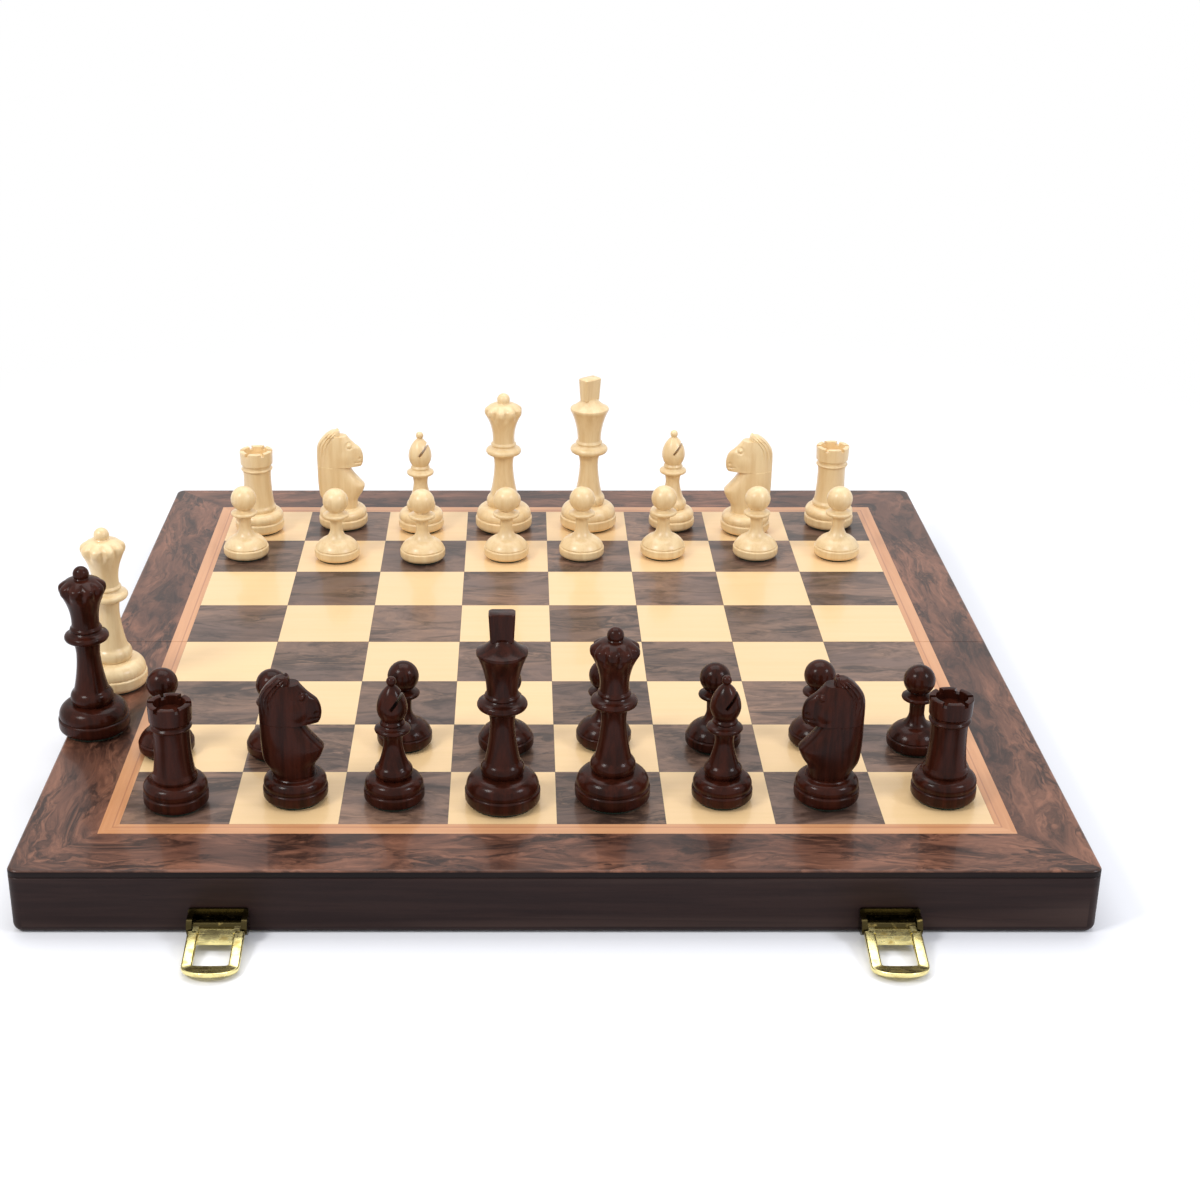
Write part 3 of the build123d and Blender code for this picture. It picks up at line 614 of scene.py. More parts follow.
def felt_material(name, colour):
    """Short-napped felt."""
    material, graph, shader, place = start_material(name)
    nap = graph.noise(place, 1900.0, 4.0, 0.75)["Fac"]
    tuft = graph.noise(place, 160.0, 3.0)["Fac"]
    pale = tuple(min(1.0, c * 2.4 + 0.01) for c in colour[:3]) + (1.0,)
    shade = graph.tint(rgba(colour), graph.remap(nap, 0.40, 0.70), 0.6, pale)
    shade = graph.tint(shade, tuft, 0.3, rgba(colour))
    feed(graph, shader, Base_Color=shade, Roughness=0.95, Sheen_Weight=0.35, Sheen_Roughness=0.5,
         Normal=bump(graph, nap, 0.6, 0.0003))
    return material


def steel_material(name, colour):
    """Plain rolled steel sheet."""
    material, graph, shader, place = start_material(name)
    lines = (20.0, 900.0, 900.0)
    rolled = group_node(graph, long_grain_group(), Coordinates=place, Frequency=lines, Warp=0.2)
    shade = graph.tint(rgba(colour), rolled["Streaks"], 0.3, STEEL_STREAK_COLOUR)
    rough = graph.remap(rolled["Streaks"], 0, 1, 0.30, 0.45)
    feed(graph, shader, Base_Color=shade, Metallic=1.0, Roughness=rough)
    return material


def finish_nodes(material, *names):
    """Gives CAD nodes their material."""
    for name in names:
        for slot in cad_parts[name].material_slots:
            slot.material = material


def arc_points(start, end, bow, count):
    """Points between start and end on an arc that bows out to the right by the given height."""
    x0, y0 = start
    x1, y1 = end
    chord = sqrt((x1 - x0) ** 2 + (y1 - y0) ** 2)
    if not bow or not chord:
        return []
    radius = (chord**2 / 4 + bow**2) / (2 * bow)
    right = ((y1 - y0) / chord, -(x1 - x0) / chord)
    middle = ((x0 + x1) / 2, (y0 + y1) / 2)
    centre = (middle[0] + right[0] * (bow - radius), middle[1] + right[1] * (bow - radius))
    first = atan2(y0 - centre[1], x0 - centre[0])
    last = atan2(y1 - centre[1], x1 - centre[0])
    if bow > 0 and last < first:
        last += 2 * pi
    if bow < 0 and last > first:
        last -= 2 * pi
    turns = [first + (last - first) * (i + 1) / (count + 1) for i in range(count)]
    return [(centre[0] + abs(radius) * cos(a), centre[1] + abs(radius) * sin(a)) for a in turns]


def outline(steps, ball=0.0):
    """A turned piece's outline in millimetres: steps of radius, height and bow, then a ball's width."""
    points = [(0.0, 0.0)]
    fewest = 3
    most = 14
    per_mm = 1.5
    for radius, height, bow in steps:
        span = sqrt((radius - points[-1][0]) ** 2 + (height - points[-1][1]) ** 2)
        count = max(fewest, min(most, int(span * per_mm))) if bow else 0
        points += arc_points(points[-1], (radius, height), bow, count)
        points.append((radius, height))
    if ball:
        size = ball / 2
        neck = points[-1][0]
        centre = points[-1][1] + sqrt(size**2 - neck**2)
        first = -atan2(sqrt(size**2 - neck**2), neck)
        for i in range(1, most):
            turn = first + (pi / 2 - first) * i / most
            points.append((size * cos(turn), centre + size * sin(turn)))
        points.append((0.0, centre + size))
    elif points[-1][0] > 0:
        points.append((0.0, points[-1][1]))
    return points


def lathe(points, segments, shape=None):
    """Turns an outline in millimetres about z into a closed bmesh. Shape may give each point's
    radius from its radius, height and angle."""
    mesh = bmesh.new()
    rings = []
    for radius, height in points:
        if radius < 1e-6:
            rings.append([mesh.verts.new((0.0, 0.0, height * MM))])
            continue
        ring = []
        for i in range(segments):
            turn = 2 * pi * i / segments
            far = shape(radius, height, turn) if shape else radius
            ring.append(mesh.verts.new((far * cos(turn) * MM, far * sin(turn) * MM, height * MM)))
        rings.append(ring)
    for lower, upper in zip(rings, rings[1:]):
        for i in range(segments):
            j = (i + 1) % segments
            corners = [lower[i % len(lower)], lower[j % len(lower)]]
            corners += [upper[j % len(upper)], upper[i % len(upper)]]
            corners = list(dict.fromkeys(corners))
            if len(corners) > 2:
                mesh.faces.new(corners)
    bmesh.ops.recalc_face_normals(mesh, faces=mesh.faces)
    return mesh


def loft(rings):
    """Joins closed rings of points, in millimetres, into a solid bmesh with flat ends."""
    mesh = bmesh.new()
    made = [[mesh.verts.new((x * MM, y * MM, z * MM)) for x, y, z in ring] for ring in rings]
    count = len(made[0])
    for lower, upper in zip(made, made[1:]):
        for i in range(count):
            j = (i + 1) % count
            mesh.faces.new((lower[i], lower[j], upper[j], upper[i]))
    mesh.faces.new(list(reversed(made[0])))
    mesh.faces.new(made[-1])
    return mesh


def foot(base, height, dome_top, dome_radius, felt, bulge=1.35):
    """The steps of a piece's foot, with its felt: a disc rounded below, a fine groove and a dome."""
    radius = base / 2
    return [
        (radius - 2.0, 0.0, 0),
        (radius - 2.0, felt, 0),
        (radius - 1.6, felt, 0),
        (radius, felt + 2.2, 0.5),
        (radius, height - 0.9, 0),
        (radius - 0.5, height - 0.1, 0.16),
        (radius - 0.75, height + 0.1, 0),
        (radius - 0.5, height + 0.5, 0.05),
        (dome_radius, dome_top, bulge),
    ]


# Heights in millimetres that two functions share
QUEEN_CROWN = 61.8
ROOK_TOP = 42.5
KNIGHT_NECK = 10.2


def king_steps(felt):
    collar = 41.2
    cup = 62.2
    return foot(28.5, 6.4, 12.2, 9.4, felt) + [
        (7.5, 12.4, 0),
        (6.8, 17.6, 1.1),
        (4.6, collar - 8.2, -0.4),
        (5.5, collar - 2.4, -0.2),
        (8.4, collar - 1.5, 0.08),
        (8.4, collar + 1.5, 1.0),
        (6.2, collar + 2.8, -0.3),
        (6.1, collar + 4.4, 0.5),
        (5.8, collar + 5.2, -0.1),
        (9.3, cup - 1.0, -0.8),
        (9.5, cup - 0.7, 0),
        (9.5, cup + 0.6, 0.12),
        (8.9, cup + 0.9, 0),
        (3.9, cup + 4.9, -0.3),
        (3.6, cup + 5.6, -0.1),
    ]


def queen_steps(felt):
    collar = 41.2
    crown = QUEEN_CROWN
    return foot(28.5, 6.4, 12.2, 9.6, felt) + [
        (7.8, 12.4, 0),
        (7.0, 18.0, 1.2),
        (4.7, collar - 8.2, -0.4),
        (5.4, collar - 2.2, -0.2),
        (7.9, collar - 1.4, 0.08),
        (7.9, collar + 1.4, 0.95),
        (5.9, collar + 2.7, -0.3),
        (5.8, collar + 4.3, 0.5),
        (5.5, collar + 5.0, -0.1),
        (9.1, crown - 1.4, -1.2),
        (9.1, crown + 1.4, 0.3),
        (3.2, crown + 4.2, 0.5),
        (2.9, crown + 4.6, 0),
    ]


def bishop_steps(felt):
    collar = 30.2
    wide = 38.8
    return foot(23.0, 5.6, 10.4, 7.8, felt) + [
        (6.4, 10.6, 0),
        (5.9, 15.4, 1.1),
        (3.5, collar - 5.8, -0.35),
        (4.1, collar - 1.8, -0.15),
        (6.2, collar - 0.9, 0.05),
        (6.2, collar + 0.9, 0.6),
        (4.4, collar + 2.0, -0.2),
        (4.3, collar + 3.4, 0.45),
        (4.1, collar + 3.9, 0),
        (5.8, wide, 0.35),
        (1.2, wide + 9.3, 1.15),
    ]


def rook_steps(felt):
    top = ROOK_TOP
    rim = 8.2
    return foot(24.5, 6.0, 11.0, 9.2, felt) + [
        (8.4, 11.2, 0),
        (7.9, 13.8, 0.45),
        (6.9, top - 18.0, -0.2),
        (7.0, top - 10.4, -0.1),
        (7.6, top - 9.9, 0.1),
        (7.6, top - 9.1, 0.25),
        (7.1, top - 8.6, 0),
        (7.1, top - 7.8, 0),
        (rim - 0.2, top - 6.8, -0.1),
        (rim, top - 0.4, 0),
        (rim - 0.35, top, 0.12),
        (6.2, top, 0),
        (5.9, top - 0.3, 0.08),
        (5.9, top - 3.8, 0),
    ]


def pawn_steps(felt):
    collar = 22.4
    return foot(22.0, 5.6, 10.4, 6.0, felt, 0.6) + [
        (5.3, 10.7, 0),
        (3.0, collar - 5.6, -0.8),
        (3.3, collar - 1.8, -0.1),
        (5.8, collar - 0.9, 0.05),
        (5.8, collar + 0.9, 0.65),
        (3.4, collar + 2.1, -0.2),
    ]


def knight_foot_steps(felt):
    return foot(24.6, 5.8, 10.4, 8.6, felt) + [(8.2, 10.8, 0)]


def block(width, depth, low, high, flare, corner, edge):
    """A block with rounded uprights and a chamfered top, wider there than at its foot."""
    steps = 4
    rings = []
    for z, inset in ((low, flare), (high - edge, 0.0), (high, edge)):
        ring = []
        for quarter in range(4):
            middle_x = (width / 2 - inset - corner) * (1 if quarter in (0, 3) else -1)
            middle_y = (depth / 2 - inset - corner) * (1 if quarter in (0, 1) else -1)
            for i in range(steps + 1):
                turn = (quarter + i / steps) * pi / 2
                ring.append((middle_x + corner * cos(turn), middle_y + corner * sin(turn), z))
        rings.append(ring)
    return loft(rings)


def to_mesh(bm, name):
    mesh = bpy.data.meshes.new(name)
    bm.to_mesh(mesh)
    bm.free()
    return mesh


def add_piece(bm, other):
    """Adds one bmesh's faces to another."""
    spare = to_mesh(other, "part")
    bm.from_mesh(spare)
    bpy.data.meshes.remove(spare)


def carve(bm, cutters):
    """Cuts closed bmeshes out of a closed bmesh, with Blender's exact boolean."""
    target = bpy.data.objects.new("carved", to_mesh(bm, "carved"))
    bpy.context.scene.collection.objects.link(target)
    tools = []
    for cutter in cutters:
        tool = bpy.data.objects.new("cutter", to_mesh(cutter, "cutter"))
        bpy.context.scene.collection.objects.link(tool)
        modifier = target.modifiers.new("cut", "BOOLEAN")
        modifier.operation = "DIFFERENCE"
        modifier.solver = "EXACT"
        modifier.object = tool
        tools.append(tool)
    bpy.context.view_layer.update()
    done = target.evaluated_get(bpy.context.evaluated_depsgraph_get())
    result = bmesh.new()
    result.from_mesh(done.to_mesh())
    done.to_mesh_clear()
    for thing in [target, *tools]:
        data = thing.data
        bpy.data.objects.remove(thing)
        bpy.data.meshes.remove(data)
    return result


def box_bmesh(size, matrix):
    """A box of the given size in millimetres, placed by a matrix in millimetres."""
    bm = bmesh.new()
    bmesh.ops.create_cube(bm, size=1.0)
    bmesh.ops.scale(bm, vec=Vector(size), verts=bm.verts)
    bmesh.ops.transform(bm, matrix=matrix, verts=bm.verts)
    bmesh.ops.scale(bm, vec=Vector((MM, MM, MM)), verts=bm.verts)
    return bm


def king_bmesh(segments, felt):
    bm = lathe(outline(king_steps(felt)), segments)
    finial = {"width": 9.8, "depth": 6.6, "low": 67.0, "high": 78.1}
    add_piece(bm, block(**finial, flare=0.55, corner=1.0, edge=0.5))
    return bm


def queen_bmesh(segments, felt):
    notches = 9
    depth = 1.7
    reach = 3.6
    ball = 6.4
    crown_inside = 6.0

    def scallop(radius, height, turn):
        near = max(0.0, 1.0 - abs(height - QUEEN_CROWN) / reach)
        dent = abs(cos(turn * notches / 2)) ** 5
        return radius - depth * near**0.6 * dent * (radius > crown_inside)

    return lathe(outline(queen_steps(felt), ball), max(segments, notches * 10), scallop)


def bishop_bmesh(segments, felt):
    ball = 3.8
    slit_height = 40.4
    slit_slope = 50.0
    slit_size = (20.0, 24.0, 1.3)
    slit_shift = 9.4
    bm = lathe(outline(bishop_steps(felt), ball), segments)
    lean = Matrix.Translation((0, 0, slit_height)) @ Matrix.Rotation(radians(-slit_slope), 4, "Y")
    return carve(bm, [box_bmesh(slit_size, lean @ Matrix.Translation((slit_shift, 0, 0)))])


def rook_bmesh(segments, felt):
    notch_size = (30.0, 1.8, 2.2)
    notch_middle = ROOK_TOP - 0.5
    bm = lathe(outline(rook_steps(felt)), segments)
    notches = []
    for i in range(3):
        turn = Matrix.Rotation(i * pi / 3, 4, "Z")
        notches.append(box_bmesh(notch_size, turn @ Matrix.Translation((0, 0, notch_middle))))
    return carve(bm, notches)


def pawn_bmesh(segments, felt):
    ball = 12.4
    return lathe(outline(pawn_steps(felt), ball), segments)


def smooth_step(low, high, value):
    share = min(1.0, max(0.0, (value - low) / (high - low)))
    return share * share * (3 - 2 * share)


def curve_through(points, value):
    """A smooth line through points of height and distance, read at a height."""
    if value <= points[0][0]:
        return points[0][1]
    for i in range(len(points) - 1):
        (z0, x0), (z1, x1) = points[i], points[i + 1]
        if value <= z1:
            before = points[i - 1] if i else points[i]
            after = points[i + 2] if i + 2 < len(points) else points[i + 1]
            slope0 = (x1 - before[1]) / (z1 - before[0]) if z1 != before[0] else 0.0
            slope1 = (after[1] - x0) / (after[0] - z0) if after[0] != z0 else 0.0
            t = (value - z0) / (z1 - z0)
            span = z1 - z0
            h00 = 2 * t**3 - 3 * t**2 + 1
            h10 = t**3 - 2 * t**2 + t
            h01 = -2 * t**3 + 3 * t**2
            h11 = t**3 - t**2
            return h00 * x0 + h10 * span * slope0 + h01 * x1 + h11 * span * slope1
    return points[-1][1]


# The knight's outline, looking along +x, in millimetres: height, then how far forward or back
KNIGHT_JAW = 32.3
KNIGHT_BROW = 48.0
KNIGHT_TOP = 50.6
KNIGHT_FOREHEAD = -0.6
KNIGHT_CHEST = [
    (10.2, 7.4), (14.8, 7.9), (18.0, 10.0), (21.0, 11.3),
    (22.2, 11.3), (24.0, 9.8), (28.0, 6.4), (32.3, 3.6),
]
KNIGHT_FACE = [
    (32.3, 10.0), (34.0, 10.8), (37.5, 11.0), (41.4, 9.7),
    (43.6, 7.1), (46.0, 4.6), (48.0, 3.0),
]
KNIGHT_MANE = [
    (10.2, -7.6), (13.0, -9.0), (16.5, -11.2), (22.0, -12.0), (32.0, -12.2), (40.5, -12.2),
    (43.6, -11.6), (46.0, -10.2), (47.8, -8.7), (49.4, -6.9), (50.6, -5.0),
]
KNIGHT_HALF_WIDTH = [
    (10.2, 6.2), (16.0, 6.1), (24.0, 5.8), (31.0, 5.3), (36.0, 5.0),
    (42.0, 4.6), (46.0, 4.1), (48.6, 3.5), (50.6, 2.2),
]


# Where the features lie on its flank, in millimetres: forward, then up
KNIGHT_CHEEK = (2.4, 37.4)
KNIGHT_EYE = (4.4, 43.4)
KNIGHT_NOSTRIL = (9.3, 36.4)
KNIGHT_MOUTH = (9.0, 34.2)


def knight_levels():
    """Height, rear and front of every level of the head, with steps at the jaw and at the brow."""
    step = 0.02
    parts = (
        (KNIGHT_NECK, KNIGHT_JAW, 34, lambda z: curve_through(KNIGHT_CHEST, z)),
        (KNIGHT_JAW + step, KNIGHT_BROW, 44, lambda z: curve_through(KNIGHT_FACE, z)),
        (KNIGHT_BROW + step, KNIGHT_TOP, 10, lambda z: KNIGHT_FOREHEAD),
    )
    levels = []
    for low, high, count, front in parts:
        for i in range(count + 1):
            z = low + (high - low) * i / count
            levels.append((z, curve_through(KNIGHT_MANE, z), front(z)))
    return levels


def squared(value):
    """A sine or cosine pushed outwards, so that a ring drawn with it is a rounded square."""
    return abs(value) ** 0.72 * (1 if value >= 0 else -1)


def knight_ring(z, rear, front, around):
    """One level of the head: narrower at the muzzle and at the mane, with the carved relief."""
    half = curve_through(KNIGHT_HALF_WIDTH, z)
    muzzle_narrowing = 0.40
    mane_narrowing = 0.16
    jaw = smooth_step(KNIGHT_JAW - 6, KNIGHT_JAW, z)
    ring = []
    for i in range(around):
        turn = 2 * pi * i / around
        side = squared(sin(turn))
        x = rear + (front - rear) * (0.5 + 0.5 * squared(cos(turn)))
        narrow = 1.0 - muzzle_narrowing * smooth_step(1.0, 10.0, x) * jaw
        narrow -= mane_narrowing * smooth_step(-6.0, -12.0, x)
        y = half * side * narrow
        y += knight_relief(x, z) * (1 if y > 0 else -1) * min(1.0, abs(side) * 1.4)
        ring.append((x, y, z))
    return ring


def knight_bmesh(segments, felt):
    """The knight's turned foot and carved head."""
    bm = lathe(outline(knight_foot_steps(felt)), segments)
    add_piece(bm, loft([knight_ring(*level, 2 * segments) for level in knight_levels()]))
    for side in (-1, 1):
        add_piece(bm, knight_ear(side))
    return bm


def bump_at(distance, reach):
    """One at a feature's middle, falling to nothing at its reach."""
    return max(0.0, 1 - abs(distance) / reach)


def squared_distance(x, z, spot):
    return (x - spot[0]) ** 2 + (z - spot[1]) ** 2


def knight_relief(x, z):
    """How far the flank stands out at a point, in millimetres."""
    inward = x - curve_through(KNIGHT_MANE, z)
    groove_pitch = 1.7
    mane = smooth_step(36.0, 41.0, z) * smooth_step(0.3, 0.9, inward) * smooth_step(6.2, 5.4, inward)
    mane *= smooth_step(KNIGHT_TOP, KNIGHT_TOP - 1.5, z)
    out = mane * (0.34 - 0.62 * abs(cos(pi * inward / groove_pitch)) ** 1.5)
    out += 0.45 * bump_at(squared_distance(x, z, KNIGHT_CHEEK), 16.0) ** 1.5
    eye = sqrt(squared_distance(x, z, KNIGHT_EYE))
    out += 0.45 * (bump_at(eye, 1.1) - bump_at(eye - 1.5, 0.7))
    nostril = sqrt(squared_distance(x, z, KNIGHT_NOSTRIL))
    out -= 0.55 * bump_at(nostril, 0.9)
    mouth = z - KNIGHT_MOUTH[1] - 0.1 * (KNIGHT_MOUTH[0] - x)
    return out - 0.5 * bump_at(mouth, 0.5) * smooth_step(6.2, 7.4, x)


def knight_ear(side):
    """One short ear at the front of the crest, rounded behind and cut upright in front."""
    base = 46.0
    tip = 51.3
    around = 20
    levels = 10
    rings = []
    for level in range(levels + 1):
        share = level / levels
        size = 2.0 * (1 - share**1.8) ** 0.6 + 0.1
        ring = []
        for i in range(around):
            turn = 2 * pi * i / around
            x = min(-2.6 + 0.9 * share + size * cos(turn), KNIGHT_FOREHEAD + 0.1)
            y = side * (1.55 + 0.15 * share) + size * sin(turn) * 0.72
            ring.append((x, y, base + (tip - base) * share))
        rings.append(ring)
    return loft(rings)


# A hasp, in millimetres: x across, y out from its pin, z up from its plate's middle
HASP_SHOULDER = 3.9
HASP_WINDOW_START = 8.6
HASP_WINDOW_END = 20.8
HASP_WINDOW_HALF = 6.3
HASP_ARM = 10.2
HASP_TIP = 27.6
HASP_TIP_START = 20.4
HASP_HALF = 1.1
HASP_RISE = 2.4
HASP_ROOT_HALF = 8.5
HASP_KNUCKLE = 1.7
HASP_DROOP = 10.5


def hasp_paths():
    """Pairs of points on the window's edge and on the hasp's edge, from arm to arm round the tip."""
    corner = 1.0
    # The share of the bend in which the window's edge rounds its corner
    corner_share = 0.25
    straight = 12
    bend = 24
    pairs = []
    for i in range(straight):
        near = HASP_SHOULDER + (HASP_WINDOW_END - corner - HASP_SHOULDER) * i / straight
        far = HASP_SHOULDER + (HASP_TIP_START - HASP_SHOULDER) * i / straight
        pairs.append(((HASP_WINDOW_HALF, near), (HASP_ARM, far)))
    for i in range(bend + 1):
        share = i / bend
        turn = share * pi / 2
        outer = (HASP_ARM * cos(turn), HASP_TIP_START + (HASP_TIP - HASP_TIP_START) * sin(turn))
        if share < corner_share:
            swing = share / corner_share * pi / 2
            x = HASP_WINDOW_HALF - corner * (1 - cos(swing))
            inner = (x, HASP_WINDOW_END - corner * (1 - sin(swing)))
        else:
            left = (1 - share) / (1 - corner_share)
            inner = ((HASP_WINDOW_HALF - corner) * left, HASP_WINDOW_END)
        pairs.append((inner, outer))
    return pairs + [((-a[0], a[1]), (-b[0], b[1])) for a, b in reversed(pairs[:-1])]


def hasp_lift(out):
    """How far the lip curls up at a distance from the pin."""
    start = HASP_WINDOW_END + 0.6
    return HASP_RISE * max(0.0, (out - start) / (HASP_TIP - start)) ** 1.4


def hasp_frame():
    """The arms and the lip around the window, with rounded edges."""
    edge = 0.7
    steps = 4
    turns = [i / steps * pi / 2 for i in range(steps + 1)]
    section = [(edge * (1 - cos(turn)), HASP_HALF - edge * (1 - sin(turn))) for turn in turns]
    rings = []
    for inner, outer in hasp_paths():
        width = sqrt((outer[0] - inner[0]) ** 2 + (outer[1] - inner[1]) ** 2)
        top = [(inset / width, z) for inset, z in section]
        top += [(1 - share, z) for share, z in reversed(top)]
        ring = []
        for share, z in top + [(share, -z) for share, z in reversed(top)]:
            x = inner[0] + (outer[0] - inner[0]) * share
            y = inner[1] + (outer[1] - inner[1]) * share
            ring.append((x, y, z + hasp_lift(y)))
        rings.append(ring)
    return loft(rings)


def hasp_bmesh():
    """A hasp lying flat: its frame, a recessed root, two cheeks and a rolled knuckle."""
    bm = hasp_frame()
    root_start = 1.0
    root_end = HASP_WINDOW_START
    root_top = 0.2
    root_size = (2 * HASP_WINDOW_HALF + 0.4, root_end - root_start, root_top + HASP_HALF)
    middle = Matrix.Translation((0, (root_start + root_end) / 2, (root_top - HASP_HALF) / 2))
    add_piece(bm, box_bmesh(root_size, middle))
    cheek_size = (HASP_ROOT_HALF - HASP_WINDOW_HALF, HASP_SHOULDER + 1.0, 2 * HASP_HALF)
    for side in (-1, 1):
        x = side * (HASP_WINDOW_HALF + HASP_ROOT_HALF) / 2
        add_piece(bm, box_bmesh(cheek_size, Matrix.Translation((x, cheek_size[1] / 2, 0))))
    length = 2 * HASP_ROOT_HALF
    around = 48
    knuckle = lathe([(0, 0), (HASP_KNUCKLE, 0), (HASP_KNUCKLE, length), (0, length)], around)
    lie = Matrix.Translation((-HASP_ROOT_HALF * MM, 0, 0)) @ Matrix.Rotation(pi / 2, 4, "Y")
    bmesh.ops.transform(knuckle, matrix=lie, verts=knuckle.verts)
    add_piece(bm, knuckle)
    bmesh.ops.recalc_face_normals(bm, faces=bm.faces)
    return bm


def hang_hasps(context, bright, painted_shade_brass):
    """Hangs a hasp on each latch's pin, drooping, with its knuckle darkened as painted shade."""
    pin_low, pin_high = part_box("latch_pins")
    pin_y, pin_z = ((pin_low[axis] + pin_high[axis]) / 2 for axis in (1, 2))
    droop = Matrix.Rotation(radians(HASP_DROOP), 4, "X") @ Matrix.Rotation(pi, 4, "Z")
    for name in ("left_hasp", "right_hasp"):
        low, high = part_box(name)
        mesh = to_mesh(hasp_bmesh(), name + "_plate")
        for material in (bright, painted_shade_brass):
            mesh.materials.append(material)
        for face in mesh.polygons:
            face.use_smooth = True
            # The knuckle's faces take the second brass, darkened as painted shade
            face.material_index = 1 if face.center.y < HASP_KNUCKLE * MM else 0
        pivot = Matrix.Translation(((low[0] + high[0]) / 2, pin_y, pin_z))
        mesh.transform(pivot @ droop)
        mesh.set_sharp_from_angle(angle=HASP_CREASE)
        hasp = bpy.data.objects.new(name + "_plate", mesh)
        context.scene.collection.objects.link(hasp)
        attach(hasp, name)
        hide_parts(name)


PIECE_SHAPES = {
    "king": king_bmesh,
    "queen": queen_bmesh,
    "bishop": bishop_bmesh,
    "knight": knight_bmesh,
    "rook": rook_bmesh,
    "pawn": pawn_bmesh,
}
WOOD_NAMES = {"light": "boxwood", "dark": "rosewood"}
LIGHT_KING_TURN = radians(38.0)


def piece_materials(context):
    """The two woods and the felt, made once. The felt's own green is darkened as painted shade under
    the pieces.
    """
    props = context.scene.chess_pieces
    made = {name: bpy.data.materials.get(name) for name in ("boxwood", "rosewood", "base_felt_painted_shade")}
    if not made["boxwood"]:
        made["boxwood"] = turned_wood_material(
            "boxwood", props.boxwood, props.boxwood_streak,
            roughness=0.36, coat=0.30, coat_roughness=0.22, gloss=0.5, contrast=0.55,
        )
    if not made["rosewood"]:
        made["rosewood"] = turned_wood_material(
            "rosewood", props.rosewood, props.rosewood_streak,
            roughness=0.28, coat=0.18, coat_roughness=0.16, gloss=0.04, contrast=0.65,
        )
    if not made["base_felt_painted_shade"]:
        made["base_felt_painted_shade"] = felt_material("base_felt_painted_shade", props.felt)
    return made


def stand_pieces(context, kind):
    """Builds one kind of piece once and stands a copy at each node of that kind."""
    props = context.scene.chess_pieces
    felt = props.felt_thickness / MM
    woods = piece_materials(context)
    master = to_mesh(PIECE_SHAPES[kind](props.segments, felt), kind)
    for node in PIECE_NODES[kind]:
        shade = "light" if node.startswith("light") else "dark"
        mesh = master.copy()
        mesh.name = node + "_turned"
        turn = 0.0
        if kind == "knight" and node.endswith("_g"):
            turn = pi
        if node == "light_king_e":
            turn = LIGHT_KING_TURN
        mesh.transform(Matrix.Translation(node_middle(node)) @ Matrix.Rotation(turn, 4, "Z"))
        mesh.materials.append(woods[WOOD_NAMES[shade]])
        mesh.materials.append(woods["base_felt_painted_shade"])
        felt_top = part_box(node)[0][2] + props.felt_thickness
        for face in mesh.polygons:
            face.use_smooth = True
            face.material_index = 1 if face.center.z < felt_top - HAIR else 0
        mesh.set_sharp_from_angle(angle=PIECE_CREASE)
        piece = bpy.data.objects.new(node + "_turned", mesh)
        context.scene.collection.objects.link(piece)
        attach(piece, node)
        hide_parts(node)
    bpy.data.meshes.remove(master)


class CHESS_OT_squares(bpy.types.Operator):
    """Finish the playing field: light and dark squares, each tile with its own figure"""

    bl_idname = "chess.squares"
    bl_label = "Squares"

    def execute(self, context):
        board = context.scene.chess_board
        left = board.field_off_centre - 4 * board.square
        tiles = {"Pitch": board.square, "Offset": left, "Line_Width": board.glue_line}
        pale = (board.light_square, board.light_square_shade, board.light_square)
        brown = (board.dark_square, board.dark_square_shade, board.dark_square_glow)
        light = veneer_material(
            "light_square_veneer", "grain", pale, frequency=(14.0, 260.0, 60.0),
            roughness=0.30, coat=0.4, gloss=0.4, tiles=tiles, variation=0.025,
        )
        dark = veneer_material(
            "dark_square_veneer", "burl", brown, frequency=(38.0, 110.0, 50.0),
            roughness=0.34, coat=0.22, gloss=0.26, tiles=tiles, variation=0.14,
        )
        for half in HALVES:
            finish_nodes(light, half + "_light_squares")
            finish_nodes(dark, half + "_dark_squares")
        return {"FINISHED"}


class CHESS_OT_border(bpy.types.Operator):
    """Finish the border's burl veneer and the inlaid strips"""

    bl_idname = "chess.border"
    bl_label = "Border and inlay"

    def execute(self, context):
        board = context.scene.chess_board
        brown = (board.border, board.border_shade, board.border_glow)
        orange = (board.inlay, board.inlay_shade, board.inlay_glow)
        offset = board.field_off_centre
        burl = veneer_material(
            "border_burl", "burl", brown, frequency=(44.0, 120.0, 60.0),
            roughness=0.32, coat=0.16, gloss=0.20, offset=offset,
        )
        inlay = veneer_material(
            "inlay_veneer", "grain", orange, frequency=(22.0, 420.0, 60.0),
            roughness=0.30, coat=0.3, gloss=0.35, offset=offset,
        )
        for half in HALVES:
            finish_nodes(burl, half + "_border_veneer")
            finish_nodes(inlay, half + "_inlay_strips")
        return {"FINISHED"}


class CHESS_OT_case(bpy.types.Operator):
    """Finish the case: rails, panels, linings and the steel sheets"""

    bl_idname = "chess.case"
    bl_label = "Case"

    def execute(self, context):
        board = context.scene.chess_board
        rails = case_wood_material(
            "case_wood", board.case_wood, board.case_wood_streak, roughness=0.46, coat=0.04, gloss=0.13
        )
        # The panels take a near-black colour: painted shade for the shaded band under the rounded top
        # edge
        panel = case_wood_material(
            "painted_shade_panel", board.painted_shade_panel_edge, board.case_wood, roughness=0.50, coat=0.0, gloss=0.15
        )
        lining = felt_material("tray_felt", board.lining)
        steel = steel_material("steel_sheet", context.scene.chess_fittings.steel)
        for half in HALVES:
            finish_nodes(rails, half + "_frame_rails")
            finish_nodes(panel, half + "_panel")
            finish_nodes(lining, half + "_lining")
            finish_nodes(steel, half + "_steel_sheet")
        return {"FINISHED"}


